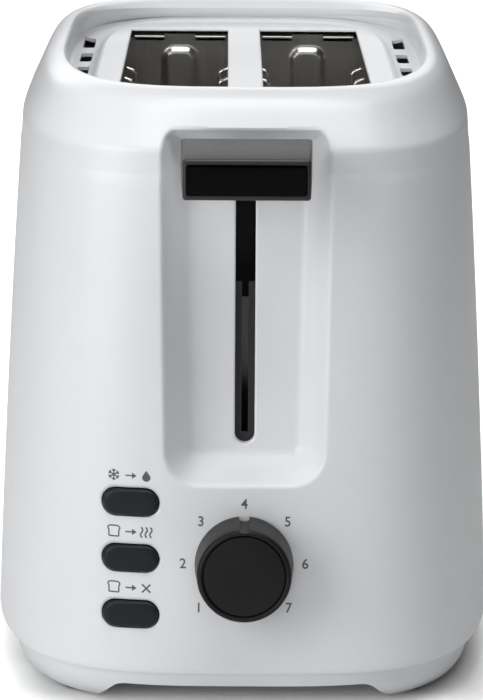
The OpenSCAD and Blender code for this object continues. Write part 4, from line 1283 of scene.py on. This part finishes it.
def lamp(name, size, power, at):
    """A soft rectangular light that shines on the toaster's middle."""
    data = bpy.data.lights.new(name, "AREA")
    data.shape = "RECTANGLE"
    data.size, data.size_y = size
    data.energy = power
    obj = linked(name, data)
    obj.location = at
    obj.rotation_euler = (Vector(LAMP_AIM) - Vector(at)).to_track_quat("-Z", "Y").to_euler()


def floor_sheet(name, material, z, size=8.0):
    mesh = bpy.data.meshes.new(name)
    points = [(x * size, y * size, z) for x, y in ((-1, -1), (1, -1), (1, 1), (-1, 1))]
    mesh.from_pydata(points, [], [(0, 1, 2, 3)])
    mesh.materials.append(material)
    return linked(name, mesh)


def paper(name):
    n = Nodes(name)
    n.colour(n.ramp(n.noise(3, 3), [(0.3, (0.8, 0.8, 0.8)), (0.7, (0.84, 0.84, 0.84))]))
    return n


def vector_maths(n, operation, a, b=None):
    m = n.node("ShaderNodeVectorMath", operation=operation)
    n.link(a, m.inputs[0])
    if b is not None:
        m.inputs[1].default_value = b
    return m.outputs


def build_stage():
    """A white paper floor that fades to pure white a little way outside the toaster's footprint, by a painted
    glow: the floor gives light though it is no lamp.
    """
    n = paper("glowing_floor_paper")
    n.roughness(n.noise(40, 3), 0.5, 0.65)
    shifted = vector_maths(n, "SUBTRACT", n.coord, GLOW_CENTRE)["Vector"]
    folded = vector_maths(n, "ABSOLUTE", shifted)["Vector"]
    outside = vector_maths(n, "SUBTRACT", folded, GLOW_FOOT)["Vector"]
    clipped = vector_maths(n, "MAXIMUM", outside, (0, 0, 0))["Vector"]
    glow = n.node("ShaderNodeMapRange", interpolation_type="SMOOTHSTEP")
    glow.inputs["From Max"].default_value = GLOW_FAR
    n.link(vector_maths(n, "LENGTH", clipped)["Value"], glow.inputs["Value"])
    # painted light: the floor glows white, more the farther it lies outside the toaster's footprint
    n.bsdf.inputs["Emission Color"].default_value = (1, 1, 1, 1)
    n.link(glow.outputs["Result"], n.bsdf.inputs["Emission Strength"])
    seen = floor_sheet("floor", n.mat, 0.0)
    seen.visible_diffuse = seen.visible_glossy = seen.visible_shadow = False
    bounce = floor_sheet("bounce_floor", paper("bounce_paper").mat, -0.0005)
    bounce.visible_camera = False


# Size, power and place of each light, in metres and watts
LIGHTS = {
    "key": ((0.7, 0.9), 6.98, (-0.8, -0.75, 0.5)),
    "back": ((1.2, 0.6), 4.2, (-0.2, 1.1, 0.7)),
    "front": ((0.8, 0.5), 1.6, (0.1, -1.4, 0.6)),
    "zenith": ((0.5, 0.5), 4.2, (0.0, 0.0, 1.7)),
    "high_front": ((1.2, 0.4), 8.2, (0.1, -0.45, 1.3)),
    "over_right": ((0.6, 0.6), 0.7, (0.5, 0.35, 1.3)),
}
LAMP_AIM = (0, 0, 0.1)
# The floor's painted glow is off inside this footprint and comes up over GLOW_FAR outside it, in metres
GLOW_CENTRE = (0.006, 0.03, 0.0)
GLOW_FOOT = (0.06, 0.13, 1.0)
GLOW_FAR = 0.045
# Millimetres, degrees of pitch, yaw and roll, and focal length
CAMERA_AT = (-5.75, -1051.0, 333.987)
CAMERA_ANGLES = (13.489, 0.286, 0.356)
CAMERA_LENS = 164.57


def build_lights():
    """The lamps in a room that gives no light of its own."""
    for name, (size, power, at) in LIGHTS.items():
        lamp(name, size, power, at)
    world = bpy.data.worlds.new("studio")
    bpy.context.scene.world = world
    world.use_nodes = True
    world.node_tree.nodes["Background"].inputs["Strength"].default_value = 0.0
    bpy.context.scene.view_settings.view_transform = "Standard"


def build_camera():
    """A long lens in front of the toaster, a little above it."""
    pitch, yaw, roll = (math.radians(a) for a in CAMERA_ANGLES)
    forward = Vector((math.sin(yaw) * math.cos(pitch), math.cos(yaw) * math.cos(pitch), -math.sin(pitch)))
    right = forward.cross(Vector((0, 0, 1))).normalized()
    upward = right.cross(forward)
    right_rolled = right * math.cos(roll) + upward * math.sin(roll)
    up_rolled = upward * math.cos(roll) - right * math.sin(roll)
    data = bpy.data.cameras.new("camera")
    data.sensor_fit = "VERTICAL"
    data.sensor_height = 36.0
    data.lens = CAMERA_LENS
    data.clip_end = 50.0
    matrix = Matrix((right_rolled, up_rolled, -forward)).transposed().to_4x4()
    matrix.translation = Vector(to_frame([CAMERA_AT])[0])
    obj = linked("camera", data)
    obj.matrix_world = matrix
    bpy.context.scene.camera = obj


build_shell()
build_deck()
build_base()
build_knob()
build_digits()
build_pictograms()
build_buttons()
build_handle()
build_rear_plate()
build_guards()
build_gland()
build_tray_pull()
build_feet()
build_stage()
build_lights()
build_camera()
